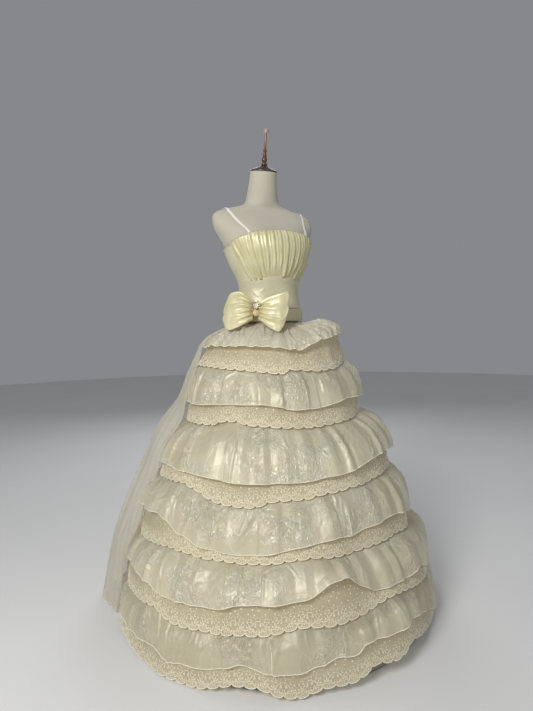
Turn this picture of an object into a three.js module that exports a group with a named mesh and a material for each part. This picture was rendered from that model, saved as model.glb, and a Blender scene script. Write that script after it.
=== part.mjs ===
// Floor-length ball gown with a strapless-cut pleated bodice, thin shoulder straps, a satin belt with
// a bow, and a skirt of six flounced tiers under a sheer back overlay. It is worn on a limbless
// dress form that stands on a pole and a round base plate.
//
// Millimetres, +Z up. The origin is the centre of the underside of the base plate, on the floor.
// The front of the gown faces -Y, and the wearer's right is -X. Angles are in degrees round the
// vertical axis from the front, positive towards +X.
import * as THREE from "three";

const RAD = Math.PI / 180;
const part = new THREE.Group();
part.name = "gown_on_form";

// ------------------------------------------------------------------ colours
const finish = (hex, roughness, metalness = 0) =>
  new THREE.MeshStandardMaterial({ color: hex, roughness, metalness });
const organza = finish(0xe6e0cf, 0.42);
const laceNet = finish(0xd8cfb2, 0.8);
const sheerNet = finish(0xcdc6b8, 0.85);
const lining = finish(0xb9ad92, 0.75);
const chiffon = finish(0xe4dfb8, 0.6);
const satin = finish(0xd8cfae, 0.38);
const bowSatin = finish(0xe2dbb8, 0.35);
const ribbon = finish(0xf2efe6, 0.45);
const linen = finish(0xbdb4a6, 0.9);
const darkWood = finish(0x4a3a2c, 0.45);
const redWood = finish(0x7a4a35, 0.4);
const brassRod = finish(0xb08d57, 0.35, 0.9);
const knobWood = finish(0xa58f86, 0.55);
const paintedSteel = finish(0x3b3a38, 0.5, 0.3);
const stones = finish(0xe9e6e0, 0.2, 0.3);

function add(name, geometry, material) {
  geometry.computeVertexNormals();
  const mesh = new THREE.Mesh(geometry, material);
  mesh.name = name;
  part.add(mesh);
  return mesh;
}

function meshOf(points, faces) {
  return new THREE.BufferGeometry()
    .setAttribute("position", new THREE.Float32BufferAttribute(points.flat(), 3))
    .setIndex(faces.flat());
}

// Reading of a table of rows { key, ...columns } at a value of its key column, eased with a cubic.
function smooth(table, key, at, column) {
  const n = table.length;
  let i = 0;
  while (i < n - 2 && at > table[i + 1][key]) i++;
  const x0 = table[i][key],
    x1 = table[i + 1][key],
    h = x1 - x0,
    t = Math.min(1, Math.max(0, (at - x0) / h));
  const slope = (j) => {
    if (j <= 0 || j >= n - 1) return 0;
    const l = (table[j][column] - table[j - 1][column]) / (table[j][key] - table[j - 1][key]);
    const r = (table[j + 1][column] - table[j][column]) / (table[j + 1][key] - table[j][key]);
    return l * r <= 0 ? 0 : (2 * l * r) / (l + r);
  };
  const a = table[i][column],
    b = table[i + 1][column],
    s0 = i === 0 ? (b - a) / h : slope(i),
    s1 = i === n - 2 ? (b - a) / h : slope(i + 1);
  const t2 = t * t,
    t3 = t2 * t;
  return (
    (2 * t3 - 3 * t2 + 1) * a + (t3 - 2 * t2 + t) * h * s0 + (-2 * t3 + 3 * t2) * b + (t3 - t2) * h * s1
  );
}

const turn = (deg) => ((((deg + 180) % 360) + 360) % 360) - 180;
// Raised cosine, 1 at its centre and 0 at half its width away.
const bump = (deg, at, width) => {
  const d = Math.abs(turn(deg - at)) / (width / 2);
  return d >= 1 ? 0 : 0.5 + 0.5 * Math.cos(Math.PI * d);
};
const ellipse = (a, b, deg) =>
  1 / Math.hypot(Math.sin(deg * RAD) / a, Math.cos(deg * RAD) / b);

// ------------------------------------------------------------------ cloth
const SEAM = 0.35; // gap at a seam between two pieces
const COLUMNS = 36; // columns round every skirt layer, so that neighbouring layers share their angles
const ring = Array.from({ length: COLUMNS }, (_, i) => -180 + (360 * i) / COLUMNS);
const arc = (from, to, count) =>
  Array.from({ length: count + 1 }, (_, i) => from + ((to - from) * i) / count);

// The outer face of a column of inner points [r, z], one wall away square to its profile. With level
// rims the first and last points stay at their height.
function outerOf(column, wall, level = false) {
  return column.map((p, i) => {
    if (level && (i === 0 || i === column.length - 1)) return [p[0] + wall, p[1]];
    const a = column[Math.max(0, i - 1)],
      b = column[Math.min(column.length - 1, i + 1)];
    const dr = b[0] - a[0],
      dz = b[1] - a[1],
      l = Math.hypot(dr, dz);
    // rows run from the top down, so the outward side is (-dz, dr)
    return [p[0] + (-dz / l) * wall, p[1] + (dr / l) * wall];
  });
}
const place = (deg, [r, z], centre) => [
  r * Math.sin(deg * RAD) + centre[0],
  -r * Math.cos(deg * RAD) + centre[1],
  z,
];

// A wall of cloth round the body. rowsAt(deg) gives the inner face from top to bottom as [r, z].
// centreAt(z) gives the middle [x, y] that the radii are measured from.
function cloth(name, angles, closed, wall, material, rowsAt, centreAt, level = false) {
  const points = [],
    faces = [];
  const n = angles.length;
  let m = 0;
  angles.forEach((deg) => {
    const inner = rowsAt(deg),
      outer = outerOf(inner, wall, level);
    m = inner.length;
    inner.forEach((p) => points.push(place(deg, p, centreAt(p[1]))));
    outer.forEach((p, i) => points.push(place(deg, p, centreAt(inner[i][1]))));
  });
  const I = (c, k) => (c % n) * 2 * m + k,
    O = (c, k) => (c % n) * 2 * m + m + k;
  const quad = (a, b, c, d) => faces.push([a, b, c], [a, c, d]);
  const columns = closed ? n : n - 1;
  for (let c = 0; c < columns; c++) {
    for (let k = 0; k < m - 1; k++) {
      quad(O(c, k), O(c, k + 1), O(c + 1, k + 1), O(c + 1, k));
      quad(I(c, k), I(c + 1, k), I(c + 1, k + 1), I(c, k + 1));
    }
    quad(I(c, 0), O(c, 0), O(c + 1, 0), I(c + 1, 0));
    quad(I(c, m - 1), I(c + 1, m - 1), O(c + 1, m - 1), O(c, m - 1));
  }
  if (!closed) {
    for (let k = 0; k < m - 1; k++) {
      quad(I(0, k), I(0, k + 1), O(0, k + 1), O(0, k));
      quad(I(n - 1, k), O(n - 1, k), O(n - 1, k + 1), I(n - 1, k + 1));
    }
  }
  return add(name, meshOf(points, faces), material);
}

// ------------------------------------------------------------------ dress form
// Sections of the padded torso: half width, half depth, how far back its middle is, squareness.
const FORM = [
  { z: 880, half: 146, depth: 108, back: 8, square: 2.0 },
  { z: 905, half: 152, depth: 113, back: 8, square: 2.0 },
  { z: 960, half: 146, depth: 110, back: 4, square: 2.0 },
  { z: 1020, half: 126, depth: 98, back: -4, square: 2.0 },
  { z: 1070, half: 114, depth: 90, back: -8, square: 2.0 },
  { z: 1120, half: 110, depth: 87, back: -8, square: 2.0 },
  { z: 1180, half: 109, depth: 86, back: -8, square: 2.0 },
  { z: 1225, half: 117, depth: 92, back: -8, square: 2.0 },
  { z: 1285, half: 143, depth: 115, back: -6, square: 2.1 },
  { z: 1340, half: 160, depth: 127, back: 0, square: 2.0 },
  { z: 1378, half: 178, depth: 114, back: 10, square: 2.1 },
  { z: 1410, half: 194, depth: 101, back: 20, square: 2.25 },
  { z: 1440, half: 203, depth: 84, back: 29, square: 2.3 },
  { z: 1462, half: 203, depth: 68, back: 35, square: 2.3 },
  { z: 1478, half: 192, depth: 57, back: 39, square: 2.2 },
  { z: 1490, half: 166, depth: 52, back: 42, square: 2.1 },
  { z: 1500, half: 128, depth: 52, back: 44, square: 2.0 },
  { z: 1510, half: 90, depth: 55, back: 44, square: 2.0 },
  { z: 1522, half: 69, depth: 57, back: 42, square: 2.0 },
  { z: 1545, half: 61, depth: 57, back: 38, square: 2.0 },
  { z: 1590, half: 55, depth: 54, back: 28, square: 2.0 },
  { z: 1638, half: 49.5, depth: 49.5, back: 18, square: 2.0 },
];
const section = (z) => ({
  a: smooth(FORM, "z", z, "half"),
  b: smooth(FORM, "z", z, "depth"),
  y: smooth(FORM, "z", z, "back"),
  p: smooth(FORM, "z", z, "square"),
});
// The neck leans forward, and so do the cap and the finial on it.
const LEAN = 12;
const NECK_TOP = [0, 18, 1638];

{
  const rows = [];
  FORM.forEach((row, i) => {
    rows.push(row.z);
    if (i < FORM.length - 1 && FORM[i + 1].z - row.z > 30) rows.push((row.z + FORM[i + 1].z) / 2);
  });
  const columns = 40,
    points = [],
    faces = [];
  rows.forEach((z) => {
    const s = section(z),
      // the top rows tip forward with the neck
      tip = z > 1590 ? (z - 1590) / 48 : 0;
    for (let c = 0; c < columns; c++) {
      const w = (2 * Math.PI * c) / columns,
        sx = Math.sign(Math.sin(w)) * Math.abs(Math.sin(w)) ** (2 / s.p),
        sy = Math.sign(Math.cos(w)) * Math.abs(Math.cos(w)) ** (2 / s.p);
      const x = s.a * sx,
        y = -s.b * sy;
      points.push([x, y + s.y, z + y * Math.tan(LEAN * RAD) * tip]);
    }
  });
  const low = points.push([0, FORM[0].back, FORM[0].z]) - 1,
    high = points.push([0, 18, 1638]) - 1,
    at = (r, c) => r * columns + (c % columns);
  for (let c = 0; c < columns; c++) {
    faces.push([low, at(0, c + 1), at(0, c)]);
    faces.push([high, at(rows.length - 1, c), at(rows.length - 1, c + 1)]);
    for (let r = 0; r < rows.length - 1; r++)
      faces.push([at(r, c), at(r, c + 1), at(r + 1, c + 1)], [at(r, c), at(r + 1, c + 1), at(r + 1, c)]);
  }
  add("form_torso", meshOf(points, faces), linen);
}

// A turned piece on the leaning axis of the neck; its rows are [radius, height above the neck top].
function turned(name, rows, material, segments = 28) {
  const g = new THREE.LatheGeometry(rows.map(([r, h]) => new THREE.Vector2(r, h)), segments);
  g.rotateX(90 * RAD);
  g.rotateX(LEAN * RAD);
  g.translate(...NECK_TOP);
  return add(name, g, material);
}
turned("neck_cap", [
  [0, 0.4], [50.5, 0.4], [51.5, 1.6], [51.5, 4.5], [49.5, 6.5], [34, 13], [20, 19], [12.5, 23], [0, 23],
], darkWood, 36);
turned("finial_turned", [
  [0, 23.4], [10.5, 23.4], [12.5, 27], [12, 31], [7, 34.5], [8.5, 38], [11, 43], [9.5, 49],
  [6.5, 54], [8.5, 58], [8.5, 62], [5.5, 66], [5.5, 72], [7.5, 75], [7.5, 79], [4.5, 82], [0, 82],
], redWood, 24);
turned("finial_rod", [[0, 82.4], [4, 82.4], [4.2, 100], [3.8, 134], [0, 134]], brassRod, 16);
turned("finial_knob", [
  [0, 134.4], [5.5, 134.4], [8.6, 138], [9.4, 144], [8, 151], [4.8, 156.5], [0, 157.5],
], knobWood, 20);

// Pole and base plate under the skirt.
{
  const pole = new THREE.CylinderGeometry(15, 15, 879.6 - 12.4, 24).rotateX(90 * RAD);
  pole.translate(0, 0, (879.6 + 12.4) / 2);
  add("stand_pole", pole, paintedSteel);
  const base = new THREE.LatheGeometry(
    [[0, 0], [172, 0], [175, 3], [175, 7], [168, 12], [0, 12]].map(([r, h]) => new THREE.Vector2(r, h)),
    48,
  ).rotateX(90 * RAD);
  add("stand_base", base, paintedSteel);
}

// ------------------------------------------------------------------ bodice
// Inner face of the bodice by height: half width, half depth, how far back its middle is.
const BODICE = [
  { z: 1070, half: 125, depth: 101, back: -8 },
  { z: 1116, half: 123, depth: 99, back: -8 },
  { z: 1150, half: 117, depth: 93, back: -8 },
  { z: 1185, half: 114, depth: 91, back: -8 },
  { z: 1226, half: 122, depth: 98, back: -8 },
  { z: 1285, half: 149, depth: 123, back: -6 },
  { z: 1340, half: 168, depth: 137, back: 0 },
  { z: 1375, half: 184, depth: 133, back: 4 },
  { z: 1405, half: 190, depth: 120, back: 9 },
];
const bodiceCentre = (z) => [0, smooth(BODICE, "z", z, "back")];
const bodiceR = (deg, z, out = 0) =>
  ellipse(smooth(BODICE, "z", z, "half") + out, smooth(BODICE, "z", z, "depth") + out, deg);

// Top edge of the bodice by angle from the front: straight across the bust, lower under the arms.
const TOP_EDGE = [
  { at: 0, z: 1400 },
  { at: 38, z: 1393 },
  { at: 62, z: 1369 },
  { at: 82, z: 1345 },
  { at: 120, z: 1336 },
  { at: 180, z: 1332 },
];
const topEdge = (deg) => smooth(TOP_EDGE, "at", Math.abs(turn(deg)), "z");
const BODICE_WALL = 2.0;
const SIDE = 74; // angle of the side seams
const slit = 0.07; // half the seam gap, as an angle

// Waist line between bust section and midriff: it rises a little at the centre front.
const empire = (deg) => 1222 + 8 * bump(deg, 0, 110);
// Bust section: front panel in fine upright pleats, two plain back panels with a centre back seam.
function bust(name, angles, pleat) {
  cloth(name, angles, false, BODICE_WALL, chiffon, (deg) => {
    const top = topEdge(deg),
      low = empire(deg) + SEAM;
    const i = angles.indexOf(deg);
    return [1, 0.72, 0.36, 0].map((t) => {
      const z = low + (top - low) * t;
      return [bodiceR(deg, z) + (i % 2 ? pleat : 0) * (0.4 + 0.6 * t), z];
    });
  }, bodiceCentre, true);
}
bust("bust_front", arc(-SIDE + slit, SIDE - slit, 22), 1.6);
bust("bust_back_left", arc(SIDE + slit, 180 - slit, 9), 0);
bust("bust_back_right", arc(-180 + slit, -SIDE - slit, 9), 0);

// Midriff of smooth satin between the bust section and the belt.
function midriff(name, angles) {
  cloth(name, angles, false, BODICE_WALL, satin, (deg) => {
    const top = empire(deg),
      low = 1115.8;
    return [1, 0.62, 0.3, 0].map((t) => {
      const z = low + (top - low) * t;
      return [bodiceR(deg, z), z];
    });
  }, bodiceCentre, true);
}
midriff("midriff_front", arc(-SIDE + slit, SIDE - slit, 12));
midriff("midriff_back_left", arc(SIDE + slit, 180 - slit, 9));
midriff("midriff_back_right", arc(-180 + slit, -SIDE - slit, 9));

// Belt: one band of satin round the waist, closed at the centre back.
const BELT = { low: 1070.4, high: 1115.4, wall: 2.6, out: 4 };
cloth("belt", arc(-180 + slit, 180 - slit, 36), false, BELT.wall, satin, (deg) =>
  [BELT.high, (BELT.high + BELT.low) / 2, BELT.low].map((z) => [
    bodiceR(deg, z, BELT.out) - 0.6,
    z,
  ]), bodiceCentre, true);

// ------------------------------------------------------------------ shoulder straps
// Each strap lies on the form from the bust edge over the shoulder to the back edge.
// Rows: side = front or back of the form, x from the middle, z, in order along the strap.
const STRAP = [
  { side: -1, x: 118, z: 1396.5 },
  { side: -1, x: 128, z: 1418 },
  { side: -1, x: 138, z: 1441 },
  { side: -1, x: 147, z: 1463 },
  { side: -1, x: 152, z: 1479 },
  { side: -1, x: 154, z: 1488 },
  { side: 0, x: 155, z: 1493.8 },
  { side: 1, x: 155, z: 1488 },
  { side: 1, x: 154, z: 1479 },
  { side: 1, x: 151, z: 1463 },
  { side: 1, x: 143, z: 1441 },
  { side: 1, x: 133, z: 1410 },
  { side: 1, x: 123, z: 1378 },
  { side: 1, x: 114, z: 1346.5 },
];
// Distance of the form's face from its middle at a given x and z.
const formFace = (x, z) => {
  const s = section(z);
  return { y: s.y, d: s.b * Math.max(0, 1 - (Math.abs(x) / s.a) ** s.p) ** (1 / s.p) };
};
function strap(name, mirror) {
  const width = 10,
    wall = 1.4,
    gap = 1.0;
  const mid = STRAP.map((row, i) => {
    const f = formFace(row.x, row.z);
    // near the bodice the strap comes away from the form to meet the top edge
    const ends = i === 0 ? 17 : i === 1 ? 6 : i === STRAP.length - 1 ? 7.5 : i === STRAP.length - 2 ? 3 : 0;
    const crest = row.z > 1485 ? 1.6 : 0;
    return new THREE.Vector3(row.x * mirror, f.y + row.side * (f.d + gap + ends + crest), row.z + crest);
  });
  const points = [],
    faces = [];
  mid.forEach((p, i) => {
    const t = new THREE.Vector3().subVectors(mid[Math.min(mid.length - 1, i + 1)], mid[Math.max(0, i - 1)]).normalize();
    // outward direction of the form at this point, from two nearby face points
    const row = STRAP[i],
      h = 2,
      f1 = formFace(row.x - h, row.z),
      f0 = formFace(row.x, row.z);
    const across = row.side === 0
      ? new THREE.Vector3(1 * mirror, 0, -0.35).normalize()
      : new THREE.Vector3(h * mirror, row.side * (f0.d - f1.d), 0).normalize();
    across.addScaledVector(t, -across.dot(t)).normalize();
    const out = new THREE.Vector3().crossVectors(across, t).normalize();
    const c = section(row.z);
    if (out.dot(new THREE.Vector3(p.x * 0.15, p.y - c.y, row.side === 0 ? 60 : 0)) < 0) out.negate();
    const e = across.clone().multiplyScalar(width / 2);
    const lift = out.clone().multiplyScalar(wall);
    const corner = [p.clone().sub(e), p.clone().add(e), p.clone().add(e).add(lift), p.clone().sub(e).add(lift)];
    corner.forEach((v) => points.push(v.toArray()));
  });
  const q = (a, b, c, d) => faces.push([a, b, c], [a, c, d]);
  for (let i = 0; i < mid.length - 1; i++)
    for (let k = 0; k < 4; k++) q(4 * i + k, 4 * i + ((k + 1) % 4), 4 * i + 4 + ((k + 1) % 4), 4 * i + 4 + k);
  q(3, 2, 1, 0);
  const n = 4 * (mid.length - 1);
  q(n, n + 1, n + 2, n + 3);
  let g = meshOf(points, faces);
  // turn every face outward if the section ran the other way round
  const volume = faces.reduce((sum, [a, b, c]) => {
    const A = new THREE.Vector3(...points[a]), B = new THREE.Vector3(...points[b]), C = new THREE.Vector3(...points[c]);
    return sum + A.dot(B.cross(C));
  }, 0);
  if (volume < 0) g = meshOf(points, faces.map(([a, b, c]) => [a, c, b]));
  add(name, g, ribbon);
}
strap("strap_right", -1);
strap("strap_left", 1);

// ------------------------------------------------------------------ skirt
// The skirt swings a little towards this side.
const SWING = 65;
// Lining cone that carries every tier: half width, half depth and swing by height.
const LINING = [
  { z: 1068.4, half: 127, depth: 103, swing: 0 },
  { z: 945, half: 193, depth: 187, swing: 4 },
  { z: 765, half: 273, depth: 270, swing: 8 },
  { z: 560, half: 365, depth: 363, swing: 11 },
  { z: 390, half: 430, depth: 429, swing: 13 },
  { z: 215, half: 490, depth: 489, swing: 15 },
  { z: 5, half: 560, depth: 560, swing: 17 },
];
const LINING_WALL = 1.6;
const liningColumn = (deg) =>
  LINING.map((row) => [
    ellipse(row.half, row.depth, deg) + row.swing * Math.cos((deg - SWING) * RAD),
    row.z,
  ]);
// The waist sits a little forward; the skirt below the hips is round the vertical axis.
const skirtCentre = (z) => [0, -8 * Math.min(1, Math.max(0, (z - 945) / (1068.4 - 945)))];
cloth("skirt_lining", ring, true, LINING_WALL, lining, liningColumn, skirtCentre);

// Where a seam at height z lies on the outside of the lining.
function onLining(deg, z) {
  const outer = outerOf(liningColumn(deg), LINING_WALL);
  for (let i = 1; i < outer.length; i++)
    if (z >= outer[i][1]) {
      const a = outer[i - 1],
        b = outer[i],
        t = (z - a[1]) / (b[1] - a[1]);
      return a[0] + (b[0] - a[0]) * t + 1.25 * SEAM;
    }
  return outer[outer.length - 1][0];
}

// The six tiers. seam and laceSeam are where the two layers are sewn to the lining, hem and edge are the heights of the organza hem and of the lace edge below it,
// radius is that of the organza hem, swing how far it leans to one side, flutes how deep its folds are.
const TIERS = [
  { seam: 1062, laceSeam: 1024, radius: 262, hem: 985, edge: 908, swing: 14, flutes: 3, count: 6, phase: 12 },
  { seam: 943, laceSeam: 850, radius: 333, hem: 791, edge: 725, swing: 17, flutes: 3, count: 6, phase: 30 },
  { seam: 763, laceSeam: 652, radius: 438, hem: 582, edge: 519, swing: 16, flutes: 5, count: 7, phase: 5 },
  { seam: 558, laceSeam: 455, radius: 503, hem: 408, edge: 348, swing: 16, flutes: 6, count: 7, phase: 40 },
  { seam: 388, laceSeam: 286, radius: 570, hem: 240, edge: 178, swing: 19, flutes: 6, count: 8, phase: 22 },
  { seam: 213, laceSeam: 128, radius: 603, hem: 86, edge: 24, swing: 25, flutes: 7, count: 8, phase: 8 },
];
// The largest folds: at which angle, how wide, how far the organza hem and the lace edge go up, and
// how far both stand out.
const FOLDS = [
  { tier: 0, at: -5, width: 34, hemUp: -16, edgeUp: -6, out: 0 },
  { tier: 0, at: 48, width: 84, hemUp: 44, edgeUp: 18, out: -4 },
  { tier: 1, at: -30, width: 46, hemUp: 9, edgeUp: 6, out: 4 },
  { tier: 1, at: -6, width: 34, hemUp: -14, edgeUp: -5, out: -3 },
  { tier: 2, at: -66, width: 44, hemUp: 3, edgeUp: 22, out: 0 },
  { tier: 2, at: -32, width: 60, hemUp: -14, edgeUp: -26, out: 3 },
  { tier: 2, at: 30, width: 56, hemUp: 18, edgeUp: 9, out: 6 },
  { tier: 3, at: -78, width: 50, hemUp: 36, edgeUp: 0, out: 4 },
  { tier: 3, at: -102, width: 50, hemUp: 0, edgeUp: -48, out: 0 },
  { tier: 3, at: -40, width: 56, hemUp: -38, edgeUp: -4, out: 0 },
  { tier: 4, at: -78, width: 34, hemUp: 22, edgeUp: 8, out: 0 },
  { tier: 4, at: -30, width: 44, hemUp: 26, edgeUp: 4, out: 4 },
  { tier: 4, at: -6, width: 36, hemUp: 74, edgeUp: 20, out: 8 },
  { tier: 4, at: 48, width: 44, hemUp: -36, edgeUp: -8, out: 4 },
  { tier: 5, at: -57, width: 26, hemUp: -16, edgeUp: -12, out: 8 },
  { tier: 5, at: -36, width: 20, hemUp: 12, edgeUp: 14, out: -6 },
  { tier: 5, at: 6, width: 56, hemUp: 34, edgeUp: 30, out: 0 },
  { tier: 5, at: 46, width: 44, hemUp: -40, edgeUp: -16, out: 0 },
  { tier: 5, at: 50, width: 84, hemUp: 0, edgeUp: 0, out: -24 },
];
const folded = (tier, deg, column) =>
  FOLDS.filter((f) => f.tier === tier).reduce((sum, f) => sum + f[column] * bump(deg, f.at, f.width), 0);

// How far the lace edge stands out past the organza hem; on the side the skirt swings to, it hangs in.
const LACE_OUT = [22, 4, 3, 4, 5, 3];
const laceFlare = (k, deg) => LACE_OUT[k] + ((k ? -12 : 14) - LACE_OUT[k]) * bump(deg, 66, k ? 96 : 70);

const hemAt = (k, deg) => {
  const T = TIERS[k];
  const wave = Math.cos((deg - T.phase) * T.count * RAD);
  return {
    r: T.radius + T.swing * Math.cos((deg - SWING) * RAD) + T.flutes * wave + folded(k, deg, "out"),
    z: T.hem + folded(k, deg, "hemUp") - 0.35 * T.flutes * wave,
    er: T.radius + T.swing * Math.cos((deg - SWING) * RAD) + 0.8 * T.flutes * wave + folded(k, deg, "out") + laceFlare(k, deg),
    ez: Math.max(T.edge + folded(k, deg, "edgeUp") - 0.3 * T.flutes * wave, 4),
  };
};
const mix = (a, b, t) => a + (b - a) * t;

// Organza layer of a tier: from its seam, tucked under the lace edge above, round its shoulder, to the hem.
function organzaColumn(k, deg) {
  const T = TIERS[k],
    h = hemAt(k, deg);
  if (k === 0) {
    const w = onLining(deg, T.seam),
      flare = bump(deg, 48, 92);
    return [
      [w, T.seam],
      [mix(w, h.r, mix(0.30, 0.36, flare)), mix(T.seam, h.z, mix(0.22, 0.04, flare))],
      [mix(w, h.r, mix(0.72, 0.86, flare)), mix(T.seam, h.z, mix(0.60, 0.22, flare))],
      [h.r, h.z],
    ];
  }
  const up = hemAt(k - 1, deg);
  return [
    [onLining(deg, T.seam), T.seam],
    [up.er - 10, up.ez - 1],
    [mix(up.er, h.r, 0.72), mix(up.ez, h.z, 0.36)],
    [h.r, h.z],
  ];
}
// Lace flounce under it, sewn on lower down and showing below the hem.
function laceColumn(k, deg) {
  const T = TIERS[k],
    h = hemAt(k, deg);
  const [, , a, b] = organzaColumn(k, deg);
  const dr = b[0] - a[0],
    dz = b[1] - a[1],
    l = Math.hypot(dr, dz);
  return [
    [onLining(deg, T.laceSeam) + (k === 0 ? 2 * SEAM : 0), T.laceSeam],
    [mix(a[0], b[0], 0.6) + (dz / l) * 9, mix(a[1], b[1], 0.6) - (dr / l) * 9],
    [h.er, h.ez],
  ];
}
const ORGANZA_WALL = 1.2,
  LACE_WALL = 1.2;
TIERS.forEach((T, k) => {
  cloth(`tier${k + 1}_lace`, ring, true, LACE_WALL, laceNet, (deg) => laceColumn(k, deg), skirtCentre);
  cloth(`tier${k + 1}_organza`, ring, true, ORGANZA_WALL, organza, (deg) => organzaColumn(k, deg), skirtCentre);
});

// Sheer overlay over the back of the skirt, open at the front, in upright pleats, gathered into the waist.
const OVERLAY = [
  { z: 985, out: 276, swing: 14, pleat: 1 },
  { z: 868, out: 326, swing: 16, pleat: 2 },
  { z: 795, out: 345, swing: 17, pleat: 2 },
  { z: 680, out: 422, swing: 16, pleat: 3 },
  { z: 585, out: 465, swing: 16, pleat: 4 },
  { z: 410, out: 545, swing: 15, pleat: 6 },
  { z: 240, out: 607, swing: 12, pleat: 6 },
  { z: 8, out: 655, swing: 8, pleat: 6 },
];
// It stands out a little more just behind its front edges.
const overlayStand = (deg, z) =>
  22 * bump(Math.min(deg - 100, 260 - deg), 17, 42) * Math.min(1, Math.max(0, (960 - z) / 260));
const overlayAngles = ring.map((d) => (d < 0 ? d + 360 : d)).filter((d) => d > 98 && d < 262).sort((a, b) => a - b);
cloth("back_overlay", overlayAngles, false, 1.2, sheerNet, (deg) => {
  const side = overlayAngles.indexOf(deg) % 2 ? 1 : -1,
    column = organzaColumn(0, deg);
  return [
    [onLining(deg, 1067), 1067],
    [column[1][0] + 5, column[1][1] + 6],
    [column[2][0] + 6, column[2][1] + 6],
    ...OVERLAY.map((row) => [
      row.out + row.swing * Math.cos((deg - SWING) * RAD) + side * row.pleat + overlayStand(deg, row.z),
      row.z,
    ]),
  ];
}, skirtCentre);

// ------------------------------------------------------------------ bow
// The bow sits on the belt at this angle, square to the body there.
const BOW = { at: -43, radius: 139, z: 1104, lean: 13 };
const bowAway = new THREE.Vector3(Math.sin(BOW.at * RAD), -Math.cos(BOW.at * RAD), 0);
const bowAlong = new THREE.Vector3(Math.cos(BOW.at * RAD), Math.sin(BOW.at * RAD), 0);
// Its lower edge stands off the body, over the top of the skirt.
const bowUp = new THREE.Vector3(0, 0, Math.cos(BOW.lean * RAD)).addScaledVector(bowAway, -Math.sin(BOW.lean * RAD));
const bowFrame = new THREE.Matrix4().makeBasis(
  bowAlong,
  bowUp,
  new THREE.Vector3().crossVectors(bowAlong, bowUp),
);
bowFrame.setPosition(BOW.radius * Math.sin(BOW.at * RAD), -BOW.radius * Math.cos(BOW.at * RAD) - 8, BOW.z);

// The loops: each a strip of satin that leaves the knot, turns round at the tip and comes back. Rows run
// along the strip: distance from the knot, distance from the body, and the strip's top and bottom.
const LOOP_RIGHT = [
  { along: 13, out: 17.6, top: 38, low: -30 },
  { along: 34, out: 26, top: 56, low: -47 },
  { along: 66, out: 32, top: 70, low: -64 },
  { along: 96, out: 29, top: 66, low: -71 },
  { along: 117, out: 20, top: 47, low: -60 },
  { along: 128, out: 12, top: 22, low: -42 },
  { along: 118, out: 5, top: 44, low: -57 },
  { along: 96, out: 3, top: 61, low: -66 },
  { along: 66, out: 2.8, top: 63, low: -58 },
  { along: 34, out: 2.8, top: 49, low: -42 },
  { along: 13, out: 3.4, top: 32, low: -26 },
];
const LOOP_LEFT = [
  { along: 13, out: 17.6, top: 27, low: -31 },
  { along: 34, out: 25, top: 34, low: -48 },
  { along: 64, out: 31, top: 42, low: -68 },
  { along: 92, out: 28, top: 51, low: -79 },
  { along: 110, out: 19, top: 61, low: -58 },
  { along: 120, out: 12, top: 66, low: -16 },
  { along: 113, out: 5, top: 70, low: -36 },
  { along: 92, out: 3, top: 66, low: -62 },
  { along: 64, out: 2.8, top: 60, low: -58 },
  { along: 34, out: 2.8, top: 50, low: -42 },
  { along: 13, out: 3.4, top: 36, low: -26 },
];
function bowLoop(name, side) {
  const wall = 1.6,
    rows = side > 0 ? LOOP_LEFT : LOOP_RIGHT,
    across = 4,
    points = [],
    faces = [];
  const n = rows.length;
  rows.forEach((row, i) => {
    const a = rows[Math.max(0, i - 1)],
      b = rows[Math.min(n - 1, i + 1)];
    const da = b.along - a.along,
      dn = b.out - a.out,
      l = Math.hypot(da, dn);
    // inward side of the loop
    const na = dn / l,
      nn = -da / l;
    for (const layer of [0, 1])
      for (let j = 0; j <= across; j++) {
        const t = j / across,
          v = mix(row.low, row.top, t);
        points.push([
          side * (row.along + layer * wall * na),
          v,
          row.out + layer * wall * nn,
        ]);
      }
  });
  const w = across + 1,
    id = (i, layer, j) => i * 2 * w + layer * w + j;
  const quad = (a, b, c, d) => faces.push([a, b, c], [a, c, d]);
  for (let i = 0; i < n - 1; i++) {
    for (let j = 0; j < across; j++) {
      quad(id(i, 0, j), id(i + 1, 0, j), id(i + 1, 0, j + 1), id(i, 0, j + 1));
      quad(id(i, 1, j), id(i, 1, j + 1), id(i + 1, 1, j + 1), id(i + 1, 1, j));
    }
    quad(id(i, 0, 0), id(i, 1, 0), id(i + 1, 1, 0), id(i + 1, 0, 0));
    quad(id(i, 0, across), id(i + 1, 0, across), id(i + 1, 1, across), id(i, 1, across));
  }
  for (let j = 0; j < across; j++) {
    quad(id(0, 0, j), id(0, 0, j + 1), id(0, 1, j + 1), id(0, 1, j));
    quad(id(n - 1, 0, j), id(n - 1, 1, j), id(n - 1, 1, j + 1), id(n - 1, 0, j + 1));
  }
  const order = side > 0 ? faces : faces.map(([a, b, c]) => [a, c, b]);
  add(name, meshOf(points, order).applyMatrix4(bowFrame), bowSatin);
}
bowLoop("bow_loop_right", -1);
bowLoop("bow_loop_left", 1);

// Knot of gathered satin, and the cluster of stones pinned on it.
{
  const knot = new THREE.LatheGeometry(
    [[0, -24], [8, -23], [11, -15], [12.2, 0], [11, 15], [8, 23], [0, 24]].map(([r, h]) => new THREE.Vector2(r, h)),
    20,
  );
  knot.scale(1, 1, 0.85).translate(0, -1, 12.5);
  add("bow_knot", knot.applyMatrix4(bowFrame), bowSatin);
  const brooch = new THREE.LatheGeometry(
    [[0, 23.3], [11, 23.3], [12, 25], [9, 28], [0, 29]].map(([r, h]) => new THREE.Vector2(r, h)),
    16,
  );
  brooch.rotateX(90 * RAD).translate(2, 17, 2.5);
  add("brooch", brooch.applyMatrix4(bowFrame), stones);
}

export default part;
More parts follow.
